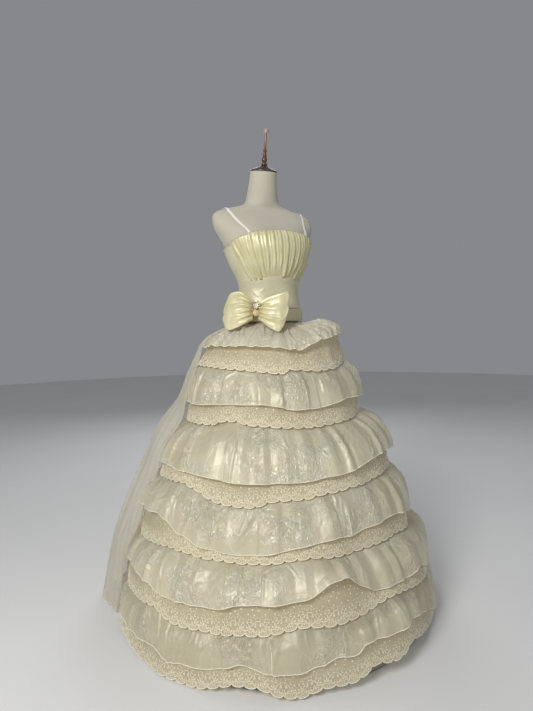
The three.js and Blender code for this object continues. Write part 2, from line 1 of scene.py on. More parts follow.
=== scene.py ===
"""Floor-length ball gown on a limbless dress form: pleated bust, satin midriff, belt and bow,
six flounced tiers of organza over bordered lace, a lining cone and a sheer overlay at the back.

Everything is in metres, +Z up, with the front facing -Y. Angles are degrees round the vertical
axis from the front, positive towards +X. Tables are in millimetres."""

import math

import bpy
import numpy as np
from mathutils import Matrix, Vector


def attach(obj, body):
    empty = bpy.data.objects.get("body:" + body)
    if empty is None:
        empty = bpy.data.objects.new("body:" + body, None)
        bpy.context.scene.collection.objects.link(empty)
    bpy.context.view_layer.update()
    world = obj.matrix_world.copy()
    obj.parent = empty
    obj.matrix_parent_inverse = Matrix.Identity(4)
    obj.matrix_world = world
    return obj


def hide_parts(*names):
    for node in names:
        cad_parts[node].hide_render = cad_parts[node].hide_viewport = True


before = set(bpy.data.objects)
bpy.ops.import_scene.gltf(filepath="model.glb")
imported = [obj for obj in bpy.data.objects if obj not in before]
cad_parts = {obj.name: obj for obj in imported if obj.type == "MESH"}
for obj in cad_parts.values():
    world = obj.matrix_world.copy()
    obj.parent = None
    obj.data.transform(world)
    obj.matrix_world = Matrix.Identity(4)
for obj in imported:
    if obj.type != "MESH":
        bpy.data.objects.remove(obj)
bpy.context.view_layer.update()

MM = 0.001
RAD = math.pi / 180
rng = np.random.default_rng(20261127)


# ---------------------------------------------------------------- helpers
def lerp(a, b, t):
    return a + (b - a) * t


def step(a, b, x):
    t = np.clip((np.asarray(x, float) - a) / (b - a), 0, 1)
    return t * t * (3 - 2 * t)


def turn(deg):
    return (np.asarray(deg, float) + 180) % 360 - 180


def bump(deg, at, width):
    """Raised cosine, 1 at its centre and 0 half its width away."""
    d = np.abs(turn(np.asarray(deg, float) - at)) / (width / 2)
    return np.where(d >= 1, 0, 0.5 + 0.5 * np.cos(np.pi * np.minimum(d, 1)))


def ease(keys, values, at):
    """Monotone cubic through rows of a table, read at any array."""
    keys, values = np.asarray(keys, float), np.asarray(values, float)
    order = np.argsort(keys)
    x, y = keys[order], values[order]
    at = np.asarray(at, float)
    h, d = np.diff(x), np.diff(y) / np.diff(x)
    m = np.zeros_like(y)
    l, r = d[:-1], d[1:]
    with np.errstate(divide="ignore", invalid="ignore"):
        m[1:-1] = np.where(l * r <= 0, 0, 2 * l * r / (l + r))
    m[0], m[-1] = d[0], d[-1]
    i = np.clip(np.searchsorted(x, at) - 1, 0, len(x) - 2)
    t = np.clip((at - x[i]) / h[i], 0, 1)
    t2, t3 = t * t, t * t * t
    return (
        (2 * t3 - 3 * t2 + 1) * y[i]
        + (t3 - 2 * t2 + t) * h[i] * m[i]
        + (-2 * t3 + 3 * t2) * y[i + 1]
        + (t3 - t2) * h[i] * m[i + 1]
    )


def noise(p, seed=0):
    """Gradient noise, about -1..1, at points (..., 3)."""
    p = np.asarray(p, float)
    i = np.floor(p).astype(np.int64)
    f = p - i
    u = f * f * f * (f * (f * 6 - 15) + 10)
    total = 0
    for dx in (0, 1):
        for dy in (0, 1):
            for dz in (0, 1):
                h = (
                    (i[..., 0] + dx) * 374761393
                    + (i[..., 1] + dy) * 668265263
                    + (i[..., 2] + dz) * 1440662683
                    + seed * 974634777
                ) & 0xFFFFFFFF
                h = ((h ^ (h >> 13)) * 1274126177) & 0xFFFFFFFF
                h = h ^ (h >> 16)
                a = (h & 4095) * (2 * np.pi / 4096)
                b = ((h >> 12) & 4095) / 2047.5 - 1
                c = np.sqrt(1 - b * b)
                w = (
                    (u[..., 0] if dx else 1 - u[..., 0])
                    * (u[..., 1] if dy else 1 - u[..., 1])
                    * (u[..., 2] if dz else 1 - u[..., 2])
                )
                total = total + w * (
                    c * np.cos(a) * (f[..., 0] - dx)
                    + c * np.sin(a) * (f[..., 1] - dy)
                    + b * (f[..., 2] - dz)
                )
    return total * 1.6


def noise1(x, seed=0):
    x = np.asarray(x, float)
    return noise(np.stack([x, np.full_like(x, 0.37), np.full_like(x, 0.61)], -1), seed)


def ring_noise(deg, per_turn, seed=0):
    """Noise round a closed ring, with about per_turn waves."""
    r = per_turn / (2 * np.pi)
    a = np.asarray(deg, float) * RAD
    return noise(np.stack([r * np.cos(a), r * np.sin(a), np.full_like(a, 0.5)], -1), seed)


def ridged(n):
    return (1 - np.minimum(np.abs(n) * 1.7, 1)) ** 2


def place(deg, r, z, cy=0.0):
    """Points in metres from an angle and millimetres."""
    a = np.asarray(deg, float) * RAD
    x, y, zz = np.broadcast_arrays(r * np.sin(a), -r * np.cos(a) + cy, z)
    return np.stack([x, y, zz], -1) * MM


def grid_normals(P, closed=False):
    """Outward normals of a grid whose first index goes round and whose second goes down."""
    if closed:
        di = np.roll(P, -1, 0) - np.roll(P, 1, 0)
    else:
        di = np.gradient(P, axis=0)
    dj = np.gradient(P, axis=1)
    n = np.cross(dj, di)
    return n / np.maximum(np.linalg.norm(n, axis=-1, keepdims=True), 1e-12)


def grid_faces(nu, nv, closed=False, flip=False):
    i = np.arange(nu if closed else nu - 1)
    j = np.arange(nv - 1)
    I, J = np.meshgrid(i, j, indexing="ij")
    a = I * nv + J
    b = ((I + 1) % nu) * nv + J
    F = np.stack([a, a + 1, b + 1, b], -1).reshape(-1, 4)
    return F[:, ::-1] if flip else F


def make(name, V, F, mat=None, uv=None, smooth=True):
    """A mesh object from vertices in metres and faces (quads or triangles); uv is per vertex."""
    V = np.ascontiguousarray(np.asarray(V, float).reshape(-1, 3), np.float32)
    me = bpy.data.meshes.new(name)
    F = [np.asarray(f, np.int32) for f in (F if isinstance(F, list) else [F]) if len(f)]
    loops = np.concatenate([f.ravel() for f in F])
    starts, at = [], 0
    for f in F:
        starts.append(at + np.arange(len(f)) * f.shape[1])
        at += f.size
    starts = np.concatenate(starts).astype(np.int32)
    me.vertices.add(len(V))
    me.vertices.foreach_set("co", V.ravel())
    me.loops.add(len(loops))
    me.loops.foreach_set("vertex_index", loops)
    me.polygons.add(len(starts))
    me.polygons.foreach_set("loop_start", starts)
    me.polygons.foreach_set("use_smooth", np.full(len(starts), smooth))
    if uv is not None:
        layer = me.uv_layers.new(name="UVMap")
        u = np.asarray(uv, float).reshape(-1, 2)[loops].astype(np.float32)
        layer.data.foreach_set("uv", u.ravel())
    me.update(calc_edges=True)
    me.validate()
    ob = bpy.data.objects.new(name, me)
    bpy.context.scene.collection.objects.link(ob)
    if mat is not None:
        me.materials.append(mat)
    return ob


def shell(name, P, wall, mat, closed=False, uv=None):
    """A closed thin wall on grid P (its outer face), wall metres thick."""
    N = grid_normals(P, closed)
    nu, nv = P.shape[:2]
    V = np.concatenate([P.reshape(-1, 3), (P - N * wall).reshape(-1, 3)])
    n = nu * nv
    out, inn = grid_faces(nu, nv, closed), grid_faces(nu, nv, closed, True) + n
    rims = []
    i = np.arange(nu if closed else nu - 1)
    k = (i + 1) % nu
    rims.append(np.stack([i * nv + n, i * nv, k * nv, k * nv + n], -1))
    rims.append(np.stack([i * nv + nv - 1, i * nv + nv - 1 + n, k * nv + nv - 1 + n, k * nv + nv - 1], -1))
    if not closed:
        j = np.arange(nv - 1)
        rims.append(np.stack([j + n, j + 1 + n, j + 1, j], -1))
        e = (nu - 1) * nv + j
        rims.append(np.stack([e, e + 1, e + 1 + n, e + n], -1))
    if uv is not None:
        uv = np.concatenate([uv.reshape(-1, 2), uv.reshape(-1, 2)])
    return make(name, V, np.concatenate([out, inn] + rims), mat, uv)


def tube(line, radius, sides=6, closed=False, flat=None, normals=None):
    """Vertices and faces of a tube on a line (n, 3); flat squeezes it along the given normals."""
    line = np.asarray(line, float)
    n = len(line)
    t = (np.roll(line, -1, 0) - np.roll(line, 1, 0)) if closed else np.gradient(line, axis=0)
    t /= np.maximum(np.linalg.norm(t, axis=1, keepdims=True), 1e-12)
    if normals is None:
        up = np.tile([0.0, 0.0, 1.0], (n, 1))
        steep = np.abs(t[:, 2]) > 0.95
        up[steep] = [0.0, 1.0, 0.0]
        normals = np.cross(t, np.cross(up, t))
    normals = normals - t * np.sum(normals * t, 1, keepdims=True)
    normals /= np.maximum(np.linalg.norm(normals, axis=1, keepdims=True), 1e-12)
    b = np.cross(t, normals)
    a = 2 * np.pi * np.arange(sides) / sides
    rad = np.broadcast_to(np.asarray(radius, float), (n,))[:, None, None]
    V = line[:, None, :] + rad * (
        np.cos(a)[None, :, None] * b[:, None, :]
        + (1 if flat is None else flat) * np.sin(a)[None, :, None] * normals[:, None, :]
    )
    i = np.arange(n if closed else n - 1)[:, None]
    j = np.arange(sides)[None, :]
    ni, nj = (i + 1) % n, (j + 1) % sides
    F = np.stack([i * sides + j, i * sides + nj, ni * sides + nj, ni * sides + j], -1).reshape(-1, 4)
    if not closed:
        V = np.concatenate([V.reshape(-1, 3), line[:1], line[-1:]])
        c0, c1 = n * sides, n * sides + 1
        jj = np.arange(sides)
        e = (n - 1) * sides
        caps = [
            np.stack([np.full(sides, c0), (jj + 1) % sides, jj], -1),
            np.stack([np.full(sides, c1), e + jj, e + (jj + 1) % sides], -1),
        ]
        return V, [F, np.concatenate(caps)]
    return V.reshape(-1, 3), [F]


def joined(parts):
    """Several (vertices, [faces...]) as one."""
    Vs, quads, tris, at = [], [], [], 0
    for V, Fs in parts:
        V = np.asarray(V, float).reshape(-1, 3)
        for F in Fs if isinstance(Fs, list) else [Fs]:
            F = np.asarray(F, np.int64)
            if len(F):
                (quads if F.shape[1] == 4 else tris).append(F + at)
        Vs.append(V)
        at += len(V)
    out = []
    if quads:
        out.append(np.concatenate(quads))
    if tris:
        out.append(np.concatenate(tris))
    return np.concatenate(Vs), out


def ellipse(a, b, deg):
    return 1 / np.hypot(np.sin(deg * RAD) / a, np.cos(deg * RAD) / b)


# ---------------------------------------------------------------- materials
class Nodes:
    """Short hand for a node material."""

    def __init__(self, name):
        self.mat = bpy.data.materials.new(name)
        self.mat.use_nodes = True
        self.t = self.mat.node_tree
        self.t.nodes.clear()
        self.out = self.t.nodes.new("ShaderNodeOutputMaterial")

    def add(self, kind, **settings):
        n = self.t.nodes.new("ShaderNode" + kind)
        for k, v in settings.items():
            setattr(n, k, v)
        return n

    def link(self, a, b):
        self.t.links.new(a, b)

    def put(self, socket, value):
        if isinstance(value, bpy.types.NodeSocket):
            self.link(value, socket)
        else:
            socket.default_value = value

    def coords(self, kind="Object"):
        return self.add("TexCoord").outputs[kind]

    def scaled(self, vector, scale):
        m = self.add("Mapping")
        self.link(vector, m.inputs["Vector"])
        m.inputs["Scale"].default_value = scale
        return m.outputs["Vector"]

    def noise(self, vector, scale, detail=2.0, rough=0.5, distortion=0.0):
        n = self.add("TexNoise")
        self.link(vector, n.inputs["Vector"])
        n.inputs["Scale"].default_value = scale
        n.inputs["Detail"].default_value = detail
        n.inputs["Roughness"].default_value = rough
        n.inputs["Distortion"].default_value = distortion
        return n.outputs["Fac"]

    def ramp(self, value, stops):
        r = self.add("ValToRGB")
        self.link(value, r.inputs["Fac"])
        el = r.color_ramp.elements
        while len(el) < len(stops):
            el.new(0.5)
        for e, (at, c) in zip(el, stops):
            e.position = at
            e.color = (*c, 1) if len(c) == 3 else c
        return r.outputs["Color"]

    def math(self, op, a, b=0.0, clamp=False):
        m = self.add("Math", operation=op, use_clamp=clamp)
        self.put(m.inputs[0], a)
        self.put(m.inputs[1], b)
        return m.outputs[0]

    def mixed(self, factor, a, b):
        """Colour a to colour b by a factor."""
        n = self.add("Mix", data_type="RGBA")
        self.put(n.inputs["Factor"], factor)
        self.put(n.inputs[6], a)
        self.put(n.inputs[7], b)
        return n.outputs[2]

    def between(self, value, a, b):
        """value 0..1 spread to a..b"""
        m = self.add("MapRange")
        self.link(value, m.inputs["Value"])
        m.inputs["To Min"].default_value = a
        m.inputs["To Max"].default_value = b
        return m.outputs["Result"]

    def xyz(self, vector):
        s = self.add("SeparateXYZ")
        self.link(vector, s.inputs[0])
        return s.outputs

    def bump(self, height, strength, distance, normal=None):
        b = self.add("Bump")
        self.link(height, b.inputs["Height"])
        b.inputs["Strength"].default_value = strength
        b.inputs["Distance"].default_value = distance
        if normal is not None:
            self.link(normal, b.inputs["Normal"])
        return b.outputs["Normal"]

    def principled(self, color, rough, normal=None, **more):
        p = self.add("BsdfPrincipled")
        self.put(p.inputs["Base Color"], color)
        self.put(p.inputs["Roughness"], rough)
        if normal is not None:
            self.link(normal, p.inputs["Normal"])
        for k, v in more.items():
            self.put(p.inputs[k.replace("_", " ")], v)
        return p.outputs["BSDF"]

    def glow_through(self, bsdf, color, share, normal=None):
        """Mixes light that comes through thin cloth into a surface."""
        t = self.add("BsdfTranslucent")
        self.put(t.inputs["Color"], color)
        if normal is not None:
            self.link(normal, t.inputs["Normal"])
        m = self.add("MixShader")
        m.inputs["Fac"].default_value = share
        self.link(bsdf, m.inputs[1])
        self.link(t.outputs[0], m.inputs[2])
        return m.outputs[0]

    def see_through(self, bsdf, solid):
        """Lets a share of the view pass straight through; solid is 1 where nothing does."""
        t = self.add("BsdfTransparent")
        m = self.add("MixShader")
        self.put(m.inputs["Fac"], solid)
        self.link(t.outputs[0], m.inputs[1])
        self.link(bsdf, m.inputs[2])
        return m.outputs[0]

    def done(self, surface):
        self.link(surface, self.out.inputs["Surface"])
        return self.mat


def c255(r, g, b):
    """A linear colour from 8-bit sRGB."""
    return tuple(((v / 255 + 0.055) / 1.055) ** 2.4 if v > 10 else v / 255 / 12.92 for v in (r, g, b)) + (1.0,)


def rgb(c):
    return c[:3]


ORGANZA_A, ORGANZA_B = c255(243, 237, 212), c255(225, 218, 189)


def organza_material(name="organza", cover=0.79, flap=False):
    m = Nodes(name)
    uv = m.coords("UV")
    ob = m.coords("Object")
    # lighter colours for the flap copy: painted light, standing in for the stronger light on the first flounce by the
    # waist
    light, dark = (ORGANZA_A, ORGANZA_B) if not flap else (c255(250, 244, 222), c255(236, 229, 202))
    tone = m.ramp(m.noise(ob, 9, 3), [(0.3, rgb(dark)), (0.75, rgb(light))])
    # fine threads both ways
    u, v, _ = m.xyz(uv)
    warp = m.math("SINE", m.math("MULTIPLY", u, 2 * math.pi / 0.0012))
    weft = m.math("SINE", m.math("MULTIPLY", v, 2 * math.pi / 0.0012))
    weave = m.math("ADD", m.math("MULTIPLY", warp, 0.5), m.math("MULTIPLY", weft, 0.5))
    # crushed facets in two sizes, stronger in some places than in others
    swirl = m.add("TexNoise")
    m.link(ob, swirl.inputs["Vector"])
    swirl.inputs["Scale"].default_value = 14
    shift = m.add("VectorMath", operation="SCALE")
    m.link(swirl.outputs["Color"], shift.inputs[0])
    shift.inputs["Scale"].default_value = 0.05
    moved = m.add("VectorMath", operation="ADD")
    m.link(ob, moved.inputs[0])
    m.link(shift.outputs[0], moved.inputs[1])
    heights = []
    for scale, stretch in ((19, (1.15, 1.15, 0.6)), (66, (1.25, 1.25, 0.66)), (8.5, (1.3, 1.3, 0.55))):
        vor = m.add("TexVoronoi", feature="DISTANCE_TO_EDGE")
        m.link(m.scaled(moved.outputs[0], stretch), vor.inputs["Vector"])
        vor.inputs["Scale"].default_value = scale
        heights.append(vor.outputs["Distance"])
    place_of = m.noise(ob, 7, 2, 0.5)
    patchy = m.add("MapRange", interpolation_type="SMOOTHSTEP")
    m.link(place_of, patchy.inputs["Value"])
    patchy.inputs["From Min"].default_value = 0.44
    patchy.inputs["From Max"].default_value = 0.60
    patchy.inputs["To Min"].default_value = 0.05
    patchy.inputs["To Max"].default_value = 1.0
    # the shortest flounce, by the waist, is crushed all over
    by_waist = m.add("MapRange", interpolation_type="SMOOTHSTEP")
    m.link(m.xyz(ob)[2], by_waist.inputs["Value"])
    by_waist.inputs["From Min"].default_value = 0.93
    by_waist.inputs["From Max"].default_value = 0.98
    by_waist.inputs["To Min"].default_value = 0.0
    by_waist.inputs["To Max"].default_value = 0.72
    strong = m.math("MAXIMUM", patchy.outputs["Result"], by_waist.outputs["Result"])
    # the facets meet in thin sharp ridges
    ridges = []
    for distance, wide in zip(heights, (0.055, 0.13, 0.022)):
        edge = m.add("MapRange", interpolation_type="SMOOTHSTEP")
        m.link(distance, edge.inputs["Value"])
        edge.inputs["From Min"].default_value = 0.0
        edge.inputs["From Max"].default_value = wide
        edge.inputs["To Min"].default_value = 1.0
        edge.inputs["To Max"].default_value = 0.0
        ridges.append(edge.outputs["Result"])
    big = m.math("ADD", m.math("MULTIPLY", heights[0], 0.5), m.math("MULTIPLY", ridges[0], 0.10))
    big = m.math("MULTIPLY", big, m.math("ADD", m.math("MULTIPLY", strong, 0.75), 0.25))
    big = m.math("ADD", big, m.math("MULTIPLY", ridges[2], 0.09))
    small = m.math("MULTIPLY", m.math("ADD", m.math("MULTIPLY", heights[1], 0.6), m.math("MULTIPLY", ridges[1], 0.22)), strong)
    # painted highlight: the ridge lines are mixed towards near-white, most where the cloth is crushed, standing in for
    # the sheen along the creases
    crest = m.math("MULTIPLY", m.math("MAXIMUM", m.math("MULTIPLY", ridges[0], 0.5), ridges[1]), strong)
    crest = m.math("MAXIMUM", crest, m.math("MULTIPLY", ridges[2], 0.50))
    tone = m.mixed(crest, tone, (*rgb(c255(255, 253, 238))[:3], 1.0))
    n1 = m.bump(big, 0.6, 0.010)
    n2 = m.bump(small, 1.0, 0.012, n1)
    n3 = m.bump(weave, 0.04, 0.0002, n2)
    rough = m.between(m.noise(ob, 25, 2), 0.38, 0.50)
    body = m.principled(tone, rough, n3, Specular_IOR_Level=0.95, Metallic=0.12, Sheen_Weight=0.08)
    cloth = m.glow_through(body, tone, 0.30, n3)
    if flap:
        # the part that stands out on its own is a single layer, and sheerer
        out = m.add("MapRange", interpolation_type="SMOOTHSTEP")
        m.link(m.xyz(ob)[0], out.inputs["Value"])
        out.inputs["From Min"].default_value = 0.14
        out.inputs["From Max"].default_value = 0.25
        out.inputs["To Min"].default_value = cover
        out.inputs["To Max"].default_value = 0.60
        cover = out.outputs["Result"]
    return m.done(m.see_through(cloth, cover))


def hem_cord_material():
    m = Nodes("hem_cord")
    ob = m.coords("Object")
    tone = m.ramp(m.noise(ob, 60, 2), [(0.3, rgb(c255(236, 229, 201))), (0.8, rgb(c255(248, 243, 224)))])
    w = m.add("TexWave", wave_type="BANDS", bands_direction="DIAGONAL")
    m.link(ob, w.inputs["Vector"])
    w.inputs["Scale"].default_value = 260
    n = m.bump(w.outputs["Fac"], 0.3, 0.0005)
    return m.done(m.principled(tone, 0.5, n, Sheen_Weight=0.2))


def net_solid(m, uv, pitch, line, low, high):
    """How solid a diamond net is at a point: threads a pitch apart, with open cells between."""
    u, v, _ = m.xyz(uv)
    a = m.math("ADD", u, v)
    b = m.math("SUBTRACT", u, v)
    cells = []
    for x in (a, b):
        s = m.math("ABSOLUTE", m.math("SINE", m.math("MULTIPLY", x, math.pi / pitch)))
        cells.append(s)
    deep = m.math("MINIMUM", *cells)
    thread = m.add("MapRange")
    m.link(deep, thread.inputs["Value"])
    thread.inputs["From Min"].default_value = line
    thread.inputs["From Max"].default_value = line + 0.22
    thread.inputs["To Min"].default_value = high
    thread.inputs["To Max"].default_value = low
    return thread.outputs["Result"], deep


def lace_net_material():
    m = Nodes("lace_net")
    uv, ob = m.coords("UV"), m.coords("Object")
    tone = m.ramp(m.noise(ob, 12, 2), [(0.3, rgb(c255(222, 211, 178))), (0.8, rgb(c255(233, 223, 194)))])
    solid, deep = net_solid(m, uv, 0.0024, 0.30, 0.66, 1.0)
    n = m.bump(deep, 0.4, 0.0006)
    body = m.principled(tone, 0.72, n, Sheen_Weight=0.1)
    return m.done(m.see_through(m.glow_through(body, tone, 0.40), solid))


def embroidery_material():
    m = Nodes("embroidery")
    ob = m.coords("Object")
    tone = m.ramp(m.noise(ob, 40, 3), [(0.25, rgb(c255(238, 229, 199))), (0.8, rgb(c255(250, 244, 221)))])
    w = m.add("TexWave", wave_type="BANDS", bands_direction="DIAGONAL")
    m.link(ob, w.inputs["Vector"])
    w.inputs["Scale"].default_value = 420
    w.inputs["Distortion"].default_value = 3
    n = m.bump(w.outputs["Fac"], 0.45, 0.0005)
    return m.done(m.principled(tone, 0.42, n, Sheen_Weight=0.25, Specular_IOR_Level=0.6))


def overlay_material():
    m = Nodes("sheer_net")
    uv, ob = m.coords("UV"), m.coords("Object")
    tone = m.ramp(m.noise(ob, 7, 2), [(0.3, rgb(c255(222, 217, 200))), (0.8, rgb(c255(236, 232, 216)))])
    solid, deep = net_solid(m, uv, 0.0030, 0.20, 0.36, 0.88)
    n = m.bump(deep, 0.3, 0.0005)
    body = m.principled(tone, 0.8, n, Sheen_Weight=0.3)
    return m.done(m.see_through(m.glow_through(body, tone, 0.4), solid))


def woven(name, a, b, rough, scale=9.0, pitch=0.0011, creases=0.0, through=0.0, weave=0.1, sheen=0.1, spec=0.5, aniso=0.0, big=0.0, metallic=0.0, coat=0.0, deep=None):
    """Plain cloth: mottled tone, threads both ways, optional small creases and an optional painted shade round a point.
    """
    m = Nodes(name)
    ob = m.coords("Object")
    tone = m.ramp(m.noise(ob, scale, 3), [(0.3, rgb(c255(*a))), (0.75, rgb(c255(*b)))])
    if deep:
        # painted shade: a darker tone round a point, standing in for the shade where the folds crowd together
        point, reach, shade = deep
        far = m.add("VectorMath", operation="DISTANCE")
        m.link(ob, far.inputs[0])
        far.inputs[1].default_value = point
        close = m.add("MapRange", interpolation_type="SMOOTHSTEP")
        m.link(far.outputs["Value"], close.inputs["Value"])
        close.inputs["From Min"].default_value = 0.008
        close.inputs["From Max"].default_value = reach
        close.inputs["To Min"].default_value = 0.75
        close.inputs["To Max"].default_value = 0.0
        tone = m.mixed(close.outputs["Result"], tone, (*rgb(c255(*shade))[:3], 1.0))
    x, y, z = m.xyz(ob)
    side = m.math("ADD", x, m.math("MULTIPLY", y, 0.8))
    warp = m.math("SINE", m.math("MULTIPLY", side, 2 * math.pi / pitch))
    weft = m.math("SINE", m.math("MULTIPLY", z, 2 * math.pi / pitch))
    height = m.math("ADD", warp, weft)
    n = m.bump(height, weave, 0.0003)
    if creases:
        n = m.bump(m.noise(ob, 38, 3, 0.5, 0.6), creases, 0.003, n)
    if big:
        n = m.bump(m.noise(ob, 13, 2, 0.5, 0.3), big, 0.006, n)
    lo_r, hi_r = rough
    body = m.principled(tone, m.between(m.noise(ob, 22, 2), lo_r, hi_r), n, Sheen_Weight=sheen, Specular_IOR_Level=spec, Metallic=metallic, Coat_Weight=coat, Coat_Roughness=0.25)
    if aniso:
        body.node.inputs["Anisotropic"].default_value = aniso
    if through:
        body = m.glow_through(body, tone, through)
    return m.done(body)


def wood(name, dark, light, rough, scale):
    m = Nodes(name)
    ob = m.coords("Object")
    grain = m.noise(m.scaled(ob, (1.0, 1.0, 0.16)), scale, 5, 0.6, 1.2)
    tone = m.ramp(grain, [(0.3, rgb(c255(*dark))), (0.7, rgb(c255(*light)))])
    n = m.bump(grain, 0.15, 0.0006)
    return m.done(m.principled(tone, m.between(grain, rough, rough + 0.15), n, Coat_Weight=0.3, Coat_Roughness=0.2))


def metal(name, a, b, rough, metallic):
    m = Nodes(name)
    ob = m.coords("Object")
    tone = m.ramp(m.noise(ob, 60, 3), [(0.3, rgb(c255(*a))), (0.7, rgb(c255(*b)))])
    fine = m.noise(m.scaled(ob, (1, 1, 0.1)), 500, 2)
    n = m.bump(fine, 0.1, 0.0003)
    return m.done(m.principled(tone, m.between(fine, rough, rough + 0.15), n, Metallic=metallic))


ORGANZA = organza_material()
# the first flounce's copy is lighter in colour, which is painted light, and sheerer where it stands out
ORGANZA_FLAP_PAINTED_LIGHT = organza_material("organza_flap_painted_light", 0.79, True)
ORGANZA_SHEER = organza_material("organza_sheer", 0.58)
CORD = hem_cord_material()
NET = lace_net_material()
EMBROIDERY = embroidery_material()
SHEER = overlay_material()
LINING = woven("lining_cloth", (176, 168, 144), (188, 181, 158), (0.62, 0.78), creases=0.25, weave=0.12, through=0.1)
CHIFFON = woven("bust_chiffon", (202, 195, 148), (220, 214, 176), (0.30, 0.42), scale=14, pitch=0.0009, creases=0.22, through=0.08, weave=0.05, sheen=0.1, spec=0.65, metallic=0.08, coat=0.05)
SATIN = woven("bodice_satin", (197, 190, 157), (208, 202, 173), (0.35, 0.45), pitch=0.0007, creases=0.18, weave=0.04, sheen=0.1, spec=0.6, big=0.3, metallic=0.1)
# the bow's satin carries painted shade, darker round the knot where its folds crowd in
BOWSATIN = woven("bow_satin", (203, 195, 153), (219, 211, 173), (0.34, 0.43), pitch=0.0007, creases=0.12, weave=0.04, sheen=0.1, spec=0.6, metallic=0.10, coat=0.0, deep=((-0.0955, -0.1095, 1.101), 0.056, (186, 166, 106)))
BELTSATIN = woven("belt_satin", (202, 194, 156), (213, 206, 171), (0.30, 0.42), pitch=0.0007, creases=0.12, weave=0.04, sheen=0.1, spec=0.55)
RIBBON = woven("strap_ribbon", (226, 224, 218), (236, 234, 229), (0.36, 0.5), pitch=0.0006, weave=0.06, through=0.0)
LINEN = woven("form_linen", (182, 176, 160), (193, 187, 171), (0.82, 0.95), scale=6, pitch=0.0016, weave=0.35, sheen=0.2, spec=0.25)
DARK = wood("cap_wood", (48, 36, 26), (78, 60, 45), 0.32, 60)
RED = wood("turned_wood", (62, 40, 28), (104, 66, 46), 0.28, 70)
KNOB = wood("knob_wood", (150, 122, 112), (176, 150, 140), 0.4, 60)
BRASS = metal("brass_rod", (120, 90, 60), (150, 116, 78), 0.3, 0.8)
STEEL = metal("stand_steel", (60, 58, 56), (74, 72, 70), 0.45, 0.4)


def shown(ob, nodes=()):
    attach(ob, "root")
    if nodes:
        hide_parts(*([nodes] if isinstance(nodes, str) else nodes))
    return ob


# ---------------------------------------------------------------- dress form
# height, half width, half depth, how far back the middle is, squareness
FORM = np.array([
    (880, 146, 108, 8, 2.0), (905, 152, 113, 8, 2.0), (960, 146, 110, 4, 2.0), (1020, 126, 98, -4, 2.0),
    (1070, 114, 90, -8, 2.0), (1120, 110, 87, -8, 2.0), (1180, 109, 86, -8, 2.0), (1225, 117, 92, -8, 2.0),
    (1285, 143, 115, -6, 2.1), (1340, 160, 127, 0, 2.0), (1378, 178, 114, 10, 2.1), (1410, 194, 101, 20, 2.25),
    (1440, 203, 84, 29, 2.3), (1462, 203, 68, 35, 2.3), (1478, 192, 57, 39, 2.2), (1490, 166, 52, 42, 2.1),
    (1500, 128, 52, 44, 2.0), (1510, 90, 55, 44, 2.0), (1522, 69, 57, 42, 2.0), (1545, 61, 57, 38, 2.0),
    (1590, 55, 54, 28, 2.0), (1638, 49.5, 49.5, 18, 2.0),
], float)
LEAN = 12
NECK_TOP = (0.0, 18.0, 1638.0)


def section(z):
    return [ease(FORM[:, 0], FORM[:, i], z) for i in range(1, 5)]


def build_form():
    zs = np.concatenate([
        np.linspace(880, 1340, 34)[:-1], np.linspace(1340, 1440, 14)[:-1],
        np.linspace(1440, 1545, 36)[:-1], np.linspace(1545, 1638, 12),
    ])
    cols = 120
    w = 2 * np.pi * np.arange(cols) / cols
    a, b, y0, p = (v[None, :] for v in section(zs))
    s, c = np.sin(w)[:, None], np.cos(w)[:, None]
    sx = np.sign(s) * np.abs(s) ** (2 / p)
    sy = np.sign(c) * np.abs(c) ** (2 / p)
    x, y = a * sx, -b * sy
    tip = np.clip((zs - 1590) / 48, 0, 1)[None, :]
    Z = zs[None, :] + y * math.tan(LEAN * RAD) * tip
    P = np.stack([x, y + y0, Z], -1)[:, ::-1] * MM  # rows from the top down
    N = grid_normals(P, True)
    # sewn panels: a shallow seam at each side and down the middles
    deg = np.degrees(np.arctan2(P[..., 0], -(P[..., 1] - 0.01)))
    dip = np.zeros(deg.shape)
    for at in (0, 90, 180, -90):
        dip += np.exp(-((turn(deg - at) * RAD * 0.13) / 0.0012) ** 2)
    P = P - N * (dip * 0.0005)[..., None]
    nu, nv = P.shape[:2]
    V = np.concatenate([P.reshape(-1, 3), [[0, NECK_TOP[1] * MM, NECK_TOP[2] * MM], [0, 0.008, 0.880]]])
    i = np.arange(nu)
    k = (i + 1) % nu
    top = np.stack([np.full(nu, nu * nv), i * nv, k * nv], -1)
    low = np.stack([np.full(nu, nu * nv + 1), k * nv + nv - 1, i * nv + nv - 1], -1)
    ob = make("form_body", V, [grid_faces(nu, nv, True), np.concatenate([top, low])], LINEN)
    return shown(ob, "form_torso")


FORM_BODY = build_form()


